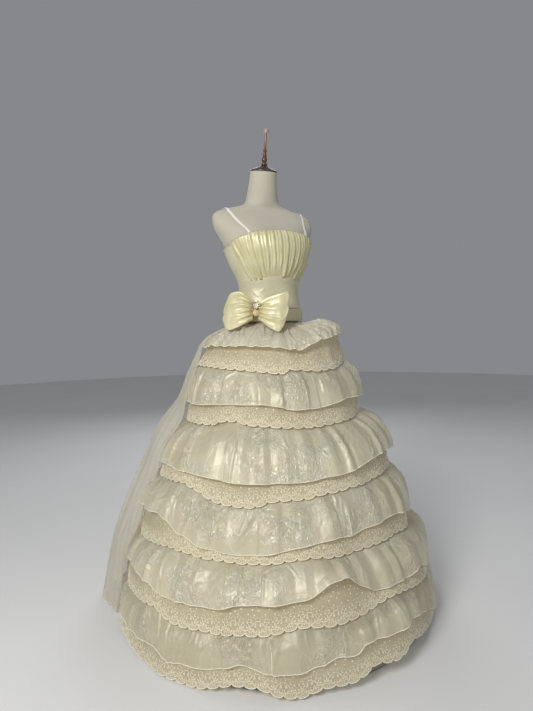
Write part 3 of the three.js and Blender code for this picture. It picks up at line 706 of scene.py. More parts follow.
def turned(name, rows, mat, node, segments=72, fine=5):
    """A turned piece on the leaning axis of the neck: rows of radius and height above its top."""
    r = np.array([q[0] for q in rows], float)
    h = np.array([q[1] for q in rows], float)
    # round every step of the outline a little
    t = np.arange(len(r))
    tt = np.linspace(0, len(r) - 1, (len(r) - 1) * fine + 1)
    rr, hh = np.interp(tt, t, r), np.interp(tt, t, h)
    if fine > 1:
        kern = np.array([1, 2, 3, 2, 1], float)
        kern /= kern.sum()
        pad = lambda v: np.concatenate([[v[0]] * 2, v, [v[-1]] * 2])
        rs, hs = np.convolve(pad(rr), kern, "valid"), np.convolve(pad(hh), kern, "valid")
        rr[2:-2], hh[2:-2] = rs[2:-2], hs[2:-2]
    a = 2 * np.pi * np.arange(segments) / segments
    rr, hh = rr[::-1], hh[::-1]
    x = rr[None, :] * np.sin(a)[:, None]
    y = -rr[None, :] * np.cos(a)[:, None]
    z = np.broadcast_to(hh[None, :], x.shape)
    ca, sa = math.cos(LEAN * RAD), math.sin(LEAN * RAD)
    P = np.stack([x + NECK_TOP[0], y * ca - z * sa + NECK_TOP[1], y * sa + z * ca + NECK_TOP[2]], -1) * MM
    ob = make(name, P, grid_faces(segments, len(rr), True), mat)
    return shown(ob, node)


turned("cap_cone", [(0.01, 0.4), (50.5, 0.4), (51.5, 1.6), (51.5, 4.5), (49.5, 6.5), (34, 13), (20, 19), (12.5, 23), (0.01, 23)], DARK, "neck_cap", 96)
turned("turned_post", [
    (0.01, 23.4), (10.5, 23.4), (12.5, 27), (12, 31), (7, 34.5), (8.5, 38), (11, 43), (9.5, 49), (6.5, 54), (8.5, 58),
    (8.5, 62), (5.5, 66), (5.5, 72), (7.5, 75), (7.5, 79), (4.5, 82), (0.01, 82),
], RED, "finial_turned", 64)
turned("thin_rod", [(0.01, 82.4), (4, 82.4), (4.2, 100), (3.8, 134), (0.01, 134)], BRASS, "finial_rod", 40)
turned("top_knob", [(0.01, 134.4), (5.5, 134.4), (8.6, 138), (9.4, 144), (8, 151), (4.8, 156.5), (0.01, 157.5)], KNOB, "finial_knob", 48)

for name in ("stand_pole", "stand_base"):
    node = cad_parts[name]
    node.data.materials.clear()
    node.data.materials.append(STEEL)

# ---------------------------------------------------------------- bodice
BODICE = np.array([
    (1070, 125, 101, -8), (1116, 123, 99, -8), (1150, 117, 93, -8), (1185, 114, 91, -8), (1226, 122, 98, -8),
    (1285, 149, 123, -6), (1340, 168, 137, 0), (1375, 184, 133, 4), (1405, 190, 120, 9),
], float)
WALL = 2.0
SIDE = 74


def bodice_r(deg, z, out=0.0):
    return ellipse(ease(BODICE[:, 0], BODICE[:, 1], z) + out, ease(BODICE[:, 0], BODICE[:, 2], z) + out, deg)


def bodice_c(z):
    return ease(BODICE[:, 0], BODICE[:, 3], z)


def top_edge(deg):
    return ease([0, 38, 62, 82, 120, 180], [1400, 1393, 1369, 1345, 1336, 1332], np.abs(turn(deg)))


def empire(deg):
    return 1222 + 8 * bump(deg, 0, 110)


def ridge(x, at, width):
    """A soft fold: 1 on its line, falling off over its width."""
    return np.exp(-((x - at) / width) ** 2)


# Pleats of the bust: angle at the top edge, angle at the seam below, width in degrees at the top,
# height in mm, and how far down it stays crisp (0 top .. 1 seam)
PLEATS = [
    (-71, -58, 2.6, 4.4, 0.98), (-65, -52.5, 1.6, 2.6, 0.9), (-60, -48, 2.9, 5.2, 0.97), (-53.6, -43.4, 1.7, 2.8, 0.85), (-48.6, -39, 3.1, 6.0, 0.92), (-42.8, -34.6, 1.5, 2.4, 0.6),
    (-38, -30.6, 2.8, 5.2, 0.72), (-32.4, -26.4, 1.6, 2.8, 0.55), (-27, -22.6, 3.0, 5.6, 0.62), (-20.8, -17.8, 1.6, 2.6, 0.5), (-15.4, -13.4, 3.0, 5.8, 0.6), (-9.2, -8, 1.7, 3.0, 0.55),
    (-3.6, -3.2, 3.0, 5.6, 0.62), (2.2, 1.9, 1.5, 2.4, 0.5), (7.2, 6.4, 3.2, 6.4, 0.9), (13.6, 12, 1.7, 2.8, 0.6), (19, 16.6, 3.0, 5.6, 0.8), (25, 21.8, 1.6, 2.6, 0.55),
    (30.2, 26.4, 2.8, 5.2, 0.74), (36, 31.4, 1.8, 3.2, 0.7), (41.4, 36, 3.0, 5.6, 0.88), (47.4, 41.4, 1.5, 2.6, 0.7), (52.4, 45.6, 2.8, 5.2, 0.92), (58.4, 50.8, 1.7, 3.0, 0.85),
    (63.8, 55.4, 2.7, 4.8, 0.96), (69.6, 60.8, 2.0, 3.6, 0.97),
]


def build_bust():
    cols, rows = 280, 38
    deg = np.linspace(-SIDE, SIDE, cols)[:, None]
    t = np.linspace(0, 1, rows)[None, :]  # 0 at the top edge, 1 at the seam
    top, low = top_edge(deg), empire(deg) - 1.6
    # the gathered ends of the seams curve in under the dome
    z = lerp(top, low, t)
    r = bodice_r(deg, z) + WALL
    h = np.zeros(np.broadcast(deg, t).shape)
    for a0, a1, w, height, down in PLEATS:
        wob = 0.5 * np.sin(7 * t + a0) + 0.35 * np.sin(13 * t + 2.1 * a0)
        line = lerp(a0, a1, t ** 1.25) + wob * (1 - 0.5 * t)
        wide = w * (0.62 + 0.55 * np.sin(np.pi * np.clip(t / max(down, 0.3), 0, 1)) ** 0.8)
        fade = np.where(t < down, 1, np.exp(-((t - down) / 0.16) ** 2))
        start = 0.55 + 0.45 * step(0, 0.12, t)
        # one flank steep, the other soft
        x = deg - line
        fold = np.where(x > 0, np.exp(-(np.abs(x) / (wide * 0.75)) ** 2), np.exp(-(np.abs(x) / (wide * 1.25)) ** 2))
        h += height * 0.95 * fold * fade * start
    # fine ease gathers right at the two sewn edges
    h += 0.9 * noise1(deg / 1.3, 4) * np.exp(-((1 - t) / 0.10) ** 2)
    h += 0.6 * noise1(deg / 1.1, 9) * np.exp(-(t / 0.05) ** 2)
    P = place(deg, r, z, bodice_c(z))
    h += 0.7 * noise(P * [34, 34, 16], 3) * (0.4 + 0.6 * t)
    # the lower part is fuller between folds, and rolls under at the seam
    h += 1.6 * np.sin(np.pi * np.clip((t - 0.45) / 0.5, 0, 1)) ** 1.2 - 1.6 * step(0.93, 1.0, t)
    # turned top edge
    h += 0.8 * np.exp(-((t - 0.035) / 0.02) ** 2) - 1.2 * step(0.03, 0.0, t)
    h = np.clip(h, -0.8, 7.6)
    P = P + grid_normals(P) * (h * MM)[..., None]
    ob = shell("bust_pleated", P, 0.0018, CHIFFON)
    return shown(ob, "bust_front")


BUST = build_bust()


def build_panel(name, a0, a1, top, low, out, mat, node, cols=150, rows=44, relief=None, seed=0, wall=0.0018):
    deg = np.linspace(a0, a1, cols)[:, None]
    t = np.linspace(0, 1, rows)[None, :]
    z = lerp(top(deg), low(deg), t)
    r = bodice_r(deg, z) + out
    P = place(deg, r, z, bodice_c(z))
    h = 0.35 * noise(P * [22, 22, 30], seed) + 0.15 * noise(P * [60, 60, 60], seed + 1)
    # stitched edges dip a little, and the cloth puckers beside them
    edge = np.minimum(np.minimum(deg - a0, a1 - deg) * 2.2, np.minimum(t, 1 - t) * (top(deg) - low(deg)))
    h = h - 0.45 * np.exp(-(edge / 1.3) ** 2) + 0.35 * np.sin(z / 2.9 + 2 * noise1(z / 11, seed)) * np.exp(-(np.minimum(deg - a0, a1 - deg) / 3.5) ** 2)
    if relief is not None:
        h = h + relief(deg, z)
    P = P + grid_normals(P) * (h * MM)[..., None]
    return shown(shell(name, P, wall, mat), node)


def wrinkles(rows):
    """Short soft folds: angle and height of both ends, width and height in mm."""
    def relief(deg, z):
        h = 0
        for a0, z0, a1, z1, w, high in rows:
            k = 2.1  # mm per degree on the body
            dx, dz = (a1 - a0) * k, z1 - z0
            L2 = dx * dx + dz * dz
            px, pz = (deg - a0) * k, z - z0
            u = np.clip((px * dx + pz * dz) / L2, 0, 1)
            d = np.hypot(px - u * dx, pz - u * dz)
            h = h + high * np.exp(-(d / w) ** 2) * (0.35 + 0.65 * np.sin(np.pi * np.clip(u, 0.02, 0.98)))
        return h
    return relief


FRONT_WRINKLES = wrinkles([
    (-31, 1219, -14, 1216, 3.0, 0.9), (-30, 1212, -18, 1206, 2.8, 0.8), (-27, 1203, -16, 1199, 2.8, 0.6),
    (-30, 1196, -22, 1188, 3.0, 0.6), (-40, 1214, -52, 1204, 3.2, 1.0), (-34, 1190, -44, 1176, 3.2, 1.1),
    (-26, 1176, -12, 1170, 3.0, 0.9), (4, 1212, 20, 1216, 3.2, 0.8), (10, 1190, 28, 1184, 3.6, 0.8),
    (30, 1206, 46, 1212, 3.2, 0.9), (-6, 1158, 12, 1163, 3.8, 0.8), (34, 1158, 52, 1150, 3.4, 0.8),
    (-56, 1176, -46, 1160, 3.2, 0.9), (18, 1141, 40, 1136, 3.4, 0.7), (-30, 1150, -14, 1142, 3.2, 0.8),
])
BACK_WRINKLES = wrinkles([
    (80, 1200, 98, 1206, 3.2, 0.9), (104, 1184, 122, 1178, 3.4, 0.9), (128, 1210, 146, 1203, 3.0, 0.8),
    (150, 1176, 168, 1182, 3.2, 0.9), (84, 1160, 100, 1152, 3.4, 0.8), (118, 1150, 138, 1157, 3.6, 0.7),
    (154, 1148, 170, 1140, 3.2, 0.8), (-80, 1196, -100, 1203, 3.2, 0.9), (-106, 1178, -126, 1186, 3.4, 0.9),
    (-132, 1206, -150, 1198, 3.0, 0.8), (-150, 1160, -170, 1168, 3.2, 0.9), (-88, 1152, -106, 1145, 3.4, 0.8),
    (-122, 1140, -140, 1148, 3.6, 0.7), (100, 1300, 132, 1288, 5.0, 0.8), (-104, 1296, -134, 1284, 5.0, 0.8),
    (90, 1262, 116, 1250, 4.5, 0.8), (-92, 1256, -118, 1246, 4.5, 0.8), (140, 1262, 166, 1270, 4.5, 0.7),
    (-142, 1266, -168, 1258, 4.5, 0.7),
])
slit = 0.0
emp = lambda d: empire(d) + 2.0
low_mid = lambda d: np.full_like(np.asarray(d, float), 1115.9)
top_back = lambda d: top_edge(d)
low_back = lambda d: empire(d) - 1.6
MID = [
    build_panel("midriff_satin", -SIDE + slit, SIDE - slit, emp, low_mid, WALL, SATIN, "midriff_front", 132, 34, FRONT_WRINKLES, 11),
    build_panel("midriff_satin_left", SIDE + slit, 180 - slit, emp, low_mid, WALL, SATIN, "midriff_back_left", 90, 30, BACK_WRINKLES, 12),
    build_panel("midriff_satin_right", -180 + slit, -SIDE - slit, emp, low_mid, WALL, SATIN, "midriff_back_right", 90, 30, BACK_WRINKLES, 13),
]
BACKS = [
    build_panel("back_panel_left", SIDE + slit, 180 - slit, top_back, low_back, WALL, SATIN, "bust_back_left", 96, 36, BACK_WRINKLES, 14),
    build_panel("back_panel_right", -180 + slit, -SIDE - slit, top_back, low_back, WALL, SATIN, "bust_back_right", 96, 36, BACK_WRINKLES, 15),
]


def build_piping():
    """Narrow turned binding along the top edges of the back panels, in the same satin."""
    parts = []
    for a0, a1 in ((SIDE + 0.2, 179.7), (-179.7, -SIDE - 0.2)):
        d = np.linspace(a0, a1, 170)
        z = top_edge(d) - 1.0
        line = place(d, bodice_r(d, z) + WALL - 0.2, z, bodice_c(z))
        parts.append(tube(line, 0.0012, 8))
    V, F = joined(parts)
    ob = make("top_binding", V, F, SATIN)
    return shown(ob)


BINDING = build_piping()


def build_belt():
    cols, rows = 210, 16
    deg = np.linspace(-180 + 0.1, 180 - 0.1, cols)[:, None]
    z = np.linspace(1115.3, 1070.5, rows)[None, :]
    mid = (z - 1092.9) / 22.4
    r = bodice_r(deg, z, 4) - 0.6 + 2.6
    P = place(deg, r, z, bodice_c(z))
    h = 0.9 * (1 - mid ** 2) + 0.5 * noise(P * [16, 16, 60], 21) + 0.35 * noise(P * [46, 46, 24], 22)
    # a stitched line just inside each folded edge
    h = h + 1.1 * np.exp(-((np.abs(mid) - 0.955) / 0.05) ** 2) - 0.7 * np.exp(-((np.abs(mid) - 0.84) / 0.035) ** 2)
    # soft drag lines where the bow pulls, and a few round the rest
    for at, zz, w, high, slope in (
        (-12, 1100, 3.4, .9, .10), (-6, 1085, 3.6, .8, -.08), (14, 1096, 4.0, .6, .05), (36, 1088, 4.0, .7, -.06), (52, 1101, 3.6, .6, .05),
        (-80, 1098, 3.8, .8, -.08), (-96, 1084, 4.0, .7, .06), (88, 1090, 3.8, .7, .08), (120, 1099, 4.0, .6, -.06), (150, 1086, 4.2, .6, .04),
        (-130, 1094, 4.0, .7, .05), (-160, 1086, 4.0, .6, -.05),
    ):
        x = turn(deg - at)
        h = h + high * np.exp(-((z - zz - slope * x * 2.2) / w) ** 2) * np.exp(-(x / 12) ** 2)
    P = P + grid_normals(P) * (h * MM)[..., None]
    return shown(shell("belt_band", P, 0.0024, BELTSATIN), "belt")


BELT = build_belt()

# ---------------------------------------------------------------- shoulder straps
STRAP = [
    (-1, 113.5, 1386), (-1, 118, 1396.5), (-1, 128, 1418), (-1, 138, 1441), (-1, 147, 1463), (-1, 152, 1479), (-1, 154, 1488), (0, 155, 1493.8),
    (1, 155, 1488), (1, 154, 1479), (1, 151, 1463), (1, 143, 1441), (1, 133, 1410), (1, 123, 1378), (1, 114, 1346.5), (1, 111, 1336),
]


def form_face(x, z):
    a, b, y, p = (float(v) for v in section(z))
    return y, b * max(0.0, 1 - (abs(x) / a) ** p) ** (1 / p)


def build_strap(name, side, node):
    mids, across, outs = [], [], []
    for i, (s, x, z) in enumerate(STRAP):
        y, d = form_face(x, z)
        ends = {0: 19.5, 1: 17, 2: 6, len(STRAP) - 1: 8.5, len(STRAP) - 2: 7.5, len(STRAP) - 3: 3}.get(i, 0)
        crest = 1.6 if z > 1485 else 0
        mids.append(np.array([x * side, y + s * (d + 1.0 + ends + crest), z + crest]))
    mids = np.array(mids)
    for i, (s, x, z) in enumerate(STRAP):
        t = mids[min(len(mids) - 1, i + 1)] - mids[max(0, i - 1)]
        t /= np.linalg.norm(t)
        if s == 0:
            a = np.array([side, 0, -0.35])
        else:
            a = np.array([2.0 * side, s * (form_face(x, z)[1] - form_face(x - 2, z)[1]), 0])
        a = a - t * (a @ t)
        a /= np.linalg.norm(a)
        o = np.cross(a, t)
        cy = float(section(z)[2])
        if o @ np.array([mids[i][0] * 0.15, mids[i][1] - cy, 60 if s == 0 else 0]) < 0:
            o = -o
        across.append(a)
        outs.append(o)
    across, outs = np.array(across), np.array(outs)
    k = np.arange(len(mids))
    tt = np.linspace(0, len(mids) - 1, 105)
    cub = lambda A: np.stack([ease(k, A[:, c], tt) for c in range(3)], -1)
    M, A, O = cub(mids), cub(across), cub(outs)
    A /= np.linalg.norm(A, axis=1, keepdims=True)
    O /= np.linalg.norm(O, axis=1, keepdims=True)
    w = np.array([-5, -4.7, -3.4, 0, 3.4, 4.7, 5, 4.6, 3.2, 0, -3.2, -4.6])
    hgt = np.array([0.6, 1.15, 1.35, 1.5, 1.35, 1.15, 0.6, 0.1, 0.0, 0.0, 0.0, 0.1])
    V = (M[:, None] + A[:, None] * w[None, :, None] + O[:, None] * hgt[None, :, None]) * MM
    n, m = V.shape[:2]
    i = np.arange(n - 1)[:, None]
    j = np.arange(m)[None, :]
    F = np.stack([i * m + j, i * m + (j + 1) % m, (i + 1) * m + (j + 1) % m, (i + 1) * m + j], -1).reshape(-1, 4)
    Vs = np.concatenate([V.reshape(-1, 3), [M[0] * MM, M[-1] * MM]])
    c = n * m
    jj = np.arange(m)
    caps = np.concatenate([
        np.stack([np.full(m, c), (jj + 1) % m, jj], -1),
        np.stack([np.full(m, c + 1), (n - 1) * m + jj, (n - 1) * m + (jj + 1) % m], -1),
    ])
    ob = make(name, Vs, [F, caps], RIBBON)
    import bmesh
    bm = bmesh.new()
    bm.from_mesh(ob.data)
    bmesh.ops.recalc_face_normals(bm, faces=bm.faces)
    bm.to_mesh(ob.data)
    bm.free()
    return shown(ob, node)


STRAPS = [build_strap("strap_ribbon_right", -1, "strap_right"), build_strap("strap_ribbon_left", 1, "strap_left")]

# ---------------------------------------------------------------- skirt
SWING = 65
LINING_ROWS = np.array([
    (1068.4, 127, 103, 0), (945, 193, 187, 4), (765, 273, 270, 8), (560, 365, 363, 11), (390, 430, 429, 13),
    (215, 490, 489, 15), (5, 560, 560, 17),
], float)


def skirt_c(z):
    return -8 * np.clip((np.asarray(z, float) - 945) / 123.4, 0, 1)


def on_lining(deg, z, out=0.0):
    a = np.interp(z, LINING_ROWS[::-1, 0], LINING_ROWS[::-1, 1])
    b = np.interp(z, LINING_ROWS[::-1, 0], LINING_ROWS[::-1, 2])
    s = np.interp(z, LINING_ROWS[::-1, 0], LINING_ROWS[::-1, 3])
    return ellipse(a, b, deg) + s * np.cos((deg - SWING) * RAD) + 1.8 + out


# seam, lace seam, hem radius, swing, flute depth, flutes round, phase
TIERS = [
    (1062, 1024, 262, 14, 3, 6, 12), (943, 850, 333, 17, 3, 6, 30), (763, 652, 438, 16, 5, 7, 5),
    (558, 455, 503, 16, 6, 7, 40), (388, 286, 570, 19, 6, 8, 22), (213, 128, 603, 25, 7, 8, 8),
]
# folds that stand out: tier, angle, width, how far out
OUTS = [
    (0, 48, 84, -4), (1, -30, 46, 4), (1, -6, 34, -3), (2, -32, 60, 3), (2, 30, 56, 6), (3, -78, 50, 4), (4, -30, 44, 4),
    (4, -6, 36, 8), (4, 48, 44, 4), (5, -57, 26, 8), (5, -36, 20, -6), (5, 50, 84, -24),
]
# height of the organza hem round each tier
HEMS = [
    [(-170, 988), (-140, 980), (-112, 976), (-91, 981), (-75, 988), (-62, 987), (-48, 988), (-36, 987), (-25, 984), (-11, 977), (-3, 967), (3, 978), (6, 989), (12, 1000), (22, 1008), (34, 1016), (46, 1027), (58, 1026), (70, 1008), (88, 992), (112, 984), (140, 990), (165, 984)],
    [(-168, 792), (-140, 782), (-112, 776), (-87, 782), (-75, 785), (-60, 792), (-46, 798), (-34, 799), (-27, 799), (-20, 792), (-15, 782), (-10, 778), (-3, 779), (5, 781), (10, 787), (16, 793), (23, 802), (39, 798), (55, 790), (75, 786), (100, 794), (126, 786), (152, 796)],
    [(-172, 588), (-145, 574), (-120, 584), (-102, 566), (-80, 579), (-71, 577), (-64, 581), (-58, 579), (-52, 578), (-47, 576), (-43, 571), (-37, 571), (-30, 570), (-27, 567), (-22, 571), (-17, 570), (-12, 572), (-8, 575), (-4, 582), (2, 585), (8, 587), (15, 598), (21, 607), (30, 613), (35, 616), (46, 604), (60, 590), (80, 578), (102, 588), (128, 576), (155, 584)],
    [(-170, 404), (-145, 416), (-120, 402), (-100, 410), (-87, 425), (-76, 441), (-68, 427), (-60, 404), (-52, 380), (-44, 373), (-36, 369), (-29, 374), (-24, 385), (-16, 399), (-8, 408), (-2, 415), (2, 408), (11, 416), (17, 422), (23, 429), (35, 412), (47, 384), (62, 390), (84, 412), (108, 400), (132, 416), (158, 406)],
    [(-168, 238), (-146, 250), (-122, 232), (-98, 214), (-82, 241), (-72, 244), (-68, 232), (-60, 227), (-53, 230), (-48, 229), (-41, 238), (-37, 254), (-29, 267), (-25, 264), (-19, 271), (-15, 277), (-12, 299), (-9, 321), (-5, 330), (-1, 306), (2, 284), (6, 258), (10, 249), (15, 251), (24, 243), (30, 258), (43, 205), (56, 212), (78, 238), (104, 246), (130, 230), (155, 244)],
    [(-170, 88), (-148, 78), (-124, 92), (-100, 70), (-83, 56), (-77, 62), (-70, 71), (-63, 72), (-58, 56), (-53, 61), (-45, 68), (-38, 86), (-35, 101), (-30, 88), (-25, 84), (-18, 84), (-13, 95), (-8, 113), (-4, 110), (-1.6, 116), (-0.6, 142), (6, 138), (11, 136), (17, 144), (24, 132), (30, 104), (36, 82), (42, 52), (50, 50), (66, 74), (90, 90), (116, 78), (142, 92)],
]
# height of the lace edge round each tier
EDGES = [
    [(-170, 908), (-140, 900), (-107, 910), (-81, 913), (-60, 910), (-41, 905), (-29, 899), (-17, 891), (-12, 905), (-1, 902), (10, 896), (24, 900), (36, 910), (48, 924), (57, 928), (70, 918), (90, 904), (118, 908), (146, 900)],
    [(-168, 724), (-136, 714), (-106, 702), (-80, 716), (-62, 720), (-55, 736), (-44, 742), (-39, 730), (-29, 728), (-18, 722), (-11, 719), (-1, 716), (9, 720), (21, 726), (33, 729), (51, 738), (74, 724), (100, 730), (128, 720), (154, 728)],
    [(-172, 522), (-146, 512), (-122, 524), (-102, 510), (-90, 522), (-78, 533), (-68, 541), (-59, 527), (-52, 505), (-47, 498), (-41, 495), (-32, 495), (-26, 511), (-18, 516), (-11, 516), (-5, 528), (2, 531), (8, 538), (16, 536), (26, 542), (34, 544), (46, 534), (64, 518), (86, 512), (110, 522), (136, 512), (160, 520)],
    [(-170, 344), (-146, 354), (-122, 338), (-100, 292), (-83, 325), (-67, 349), (-58, 353), (-50, 345), (-41, 347), (-35, 343), (-27, 349), (-19, 359), (-12, 364), (-5, 356), (2, 354), (14, 358), (26, 360), (40, 346), (56, 330), (76, 342), (100, 336), (126, 350), (156, 342)],
    [(-168, 172), (-144, 182), (-120, 160), (-98, 120), (-84, 150), (-73, 172), (-67, 180), (-62, 161), (-56, 154), (-50, 157), (-40, 162), (-35, 170), (-30, 173), (-24, 183), (-17, 197), (-10, 194), (-2, 199), (2, 202), (6, 210), (14, 222), (20, 212), (30, 196), (42, 168), (56, 160), (78, 172), (104, 182), (130, 166), (156, 178)],
    [(-170, 22), (-146, 14), (-122, 24), (-100, 12), (-89, 14), (-77, 7), (-70, 5), (-63, 4), (-56, 4), (-48, 4), (-42, 19), (-37, 33), (-29, 35), (-25, 20), (-21, 12), (-18, 8), (-12, 28), (-5, 28), (-1, 38), (3, 66), (9, 50), (13, 52), (18, 76), (26, 50), (34, 24), (44, 6), (56, 10), (74, 16), (96, 22), (120, 12), (144, 22)],
]
# how far the lace edge stands out past the organza hem on the front and right of the body
LACE_OUT = [24, 5, 4, 5, 6, 4]


def lace_flare(k, deg):
    return lerp(LACE_OUT[k], -12 if k else 14, bump(deg, 66, 96 if k else 70))


def round_table(rows, deg, soft=1.6):
    """A table round the ring, eased: the mean of a few close readings of its straight lines."""
    a = np.array([r[0] for r in rows], float)
    v = np.array([r[1] for r in rows], float)
    total, weight = 0, 0
    for o in np.linspace(-2.2, 2.2, 9):
        w = math.exp(-o * o / 2)
        total = total + w * np.interp(np.asarray(deg, float) + o * soft, a, v, period=360)
        weight += w
    return total / weight


def outs(k, deg):
    return sum(o * bump(deg, at, w) for t, at, w, o in OUTS if t == k)


def hem_at(k, deg):
    """Organza hem (r, z) and lace edge (r, z) of a tier, in mm."""
    seam, lseam, radius, swing, flute, count, phase = TIERS[k]
    wave = np.cos((deg - phase) * count * RAD)
    lean = swing * np.cos((deg - SWING) * RAD)
    loose = (4 + flute) * (1.0 * ring_noise(deg, 17 + 2 * k, 31 + k) + 0.5 * ring_noise(deg, 43 + 3 * k, 61 + k))
    r = radius + lean + 0.75 * flute * wave + outs(k, deg) + loose
    z = round_table(HEMS[k], deg, 0.7 if k == 5 else 1.2) + 1.2 * ring_noise(deg, 64, 11 + k)
    er = radius + lean + 0.6 * flute * wave + outs(k, deg) + 0.8 * loose + lace_flare(k, deg)
    ez = round_table(EDGES[k], deg, 1.2)
    return r, z, er, np.maximum(ez, 3.5)


def organza_profile(k, deg, rows_hidden=5, rows=30):
    """(r, z) grids of a tier's organza from its seam to its hem, and 0..1 down its visible part."""
    seam = TIERS[k][0]
    deg = deg[:, None]
    r1, z1, _, _ = hem_at(k, deg)
    w = on_lining(deg, seam, 0.6)
    if k == 0:
        t = np.linspace(0, 1, rows + rows_hidden)[None, :]
        flare = bump(deg, 48, 92)
        # falls from the belt, and on one side stands out almost level before it drops
        ctl_t = np.array([0, 0.30, 0.72, 1.0])
        r_a = ease([0, .33, .68, 1], [0, .36, .73, 1], t)
        z_a = ease([0, .33, .68, 1], [0, .24, .60, 1], t)
        r_b = ease([0, .33, .62, .82, 1], [0, .46, .86, 1.0, 1.0], t)
        z_b = ease([0, .33, .62, .82, 1], [0, .05, .20, .52, 1], t)
        R = lerp(w, r1, lerp(r_a, r_b, flare))
        Z = lerp(seam, z1, lerp(z_a, z_b, flare))
        # on that side the stiff gathers stand up beside the belt before they fall
        Z = Z + 17 * bump(deg, 66, 92) * np.exp(-((t - 0.36) / 0.20) ** 2) * step(0, 0.2, t)
        v = np.broadcast_to(t, R.shape)
        return R, Z, v
    _, _, er, ez = hem_at(k - 1, deg)
    r0, z0 = er - 12, ez - 1.5
    s = np.linspace(0, 1, rows_hidden, endpoint=False)[None, :]
    Ra, Za = lerp(w, r0, s), lerp(seam, z0, s ** 1.3)
    phi = np.linspace(0, 1, rows)[None, :]
    full = 0.5 * np.pi * phi
    # a slanting fall on most sides, a rounder one where the skirt stands out to one side
    puff = 0.34 + 0.52 * bump(deg, 66, 130) + 0.16 * ring_noise(deg, 9, 201 + k)
    R = r0 + (r1 - r0) * lerp(phi, np.sin(full), puff) + 3 * np.sin(np.pi * phi)
    Z = z0 + (z1 - z0) * lerp(phi, 1 - np.cos(full), puff)
    v = np.concatenate([np.zeros_like(Ra), np.broadcast_to(phi, R.shape)], 1)
    return np.concatenate([Ra, R], 1), np.concatenate([Za, Z], 1), v


def lengths_down(P):
    d = np.linalg.norm(np.diff(P, axis=1), axis=-1)
    return np.concatenate([np.zeros((P.shape[0], 1)), np.cumsum(d, 1)], 1)


def lengths_round(P, closed=True):
    nxt = np.roll(P, -1, 0) if closed else P
    row = P[:, -1]
    d = np.linalg.norm(np.diff(row, axis=0), axis=-1)
    return np.concatenate([[0], np.cumsum(d)])


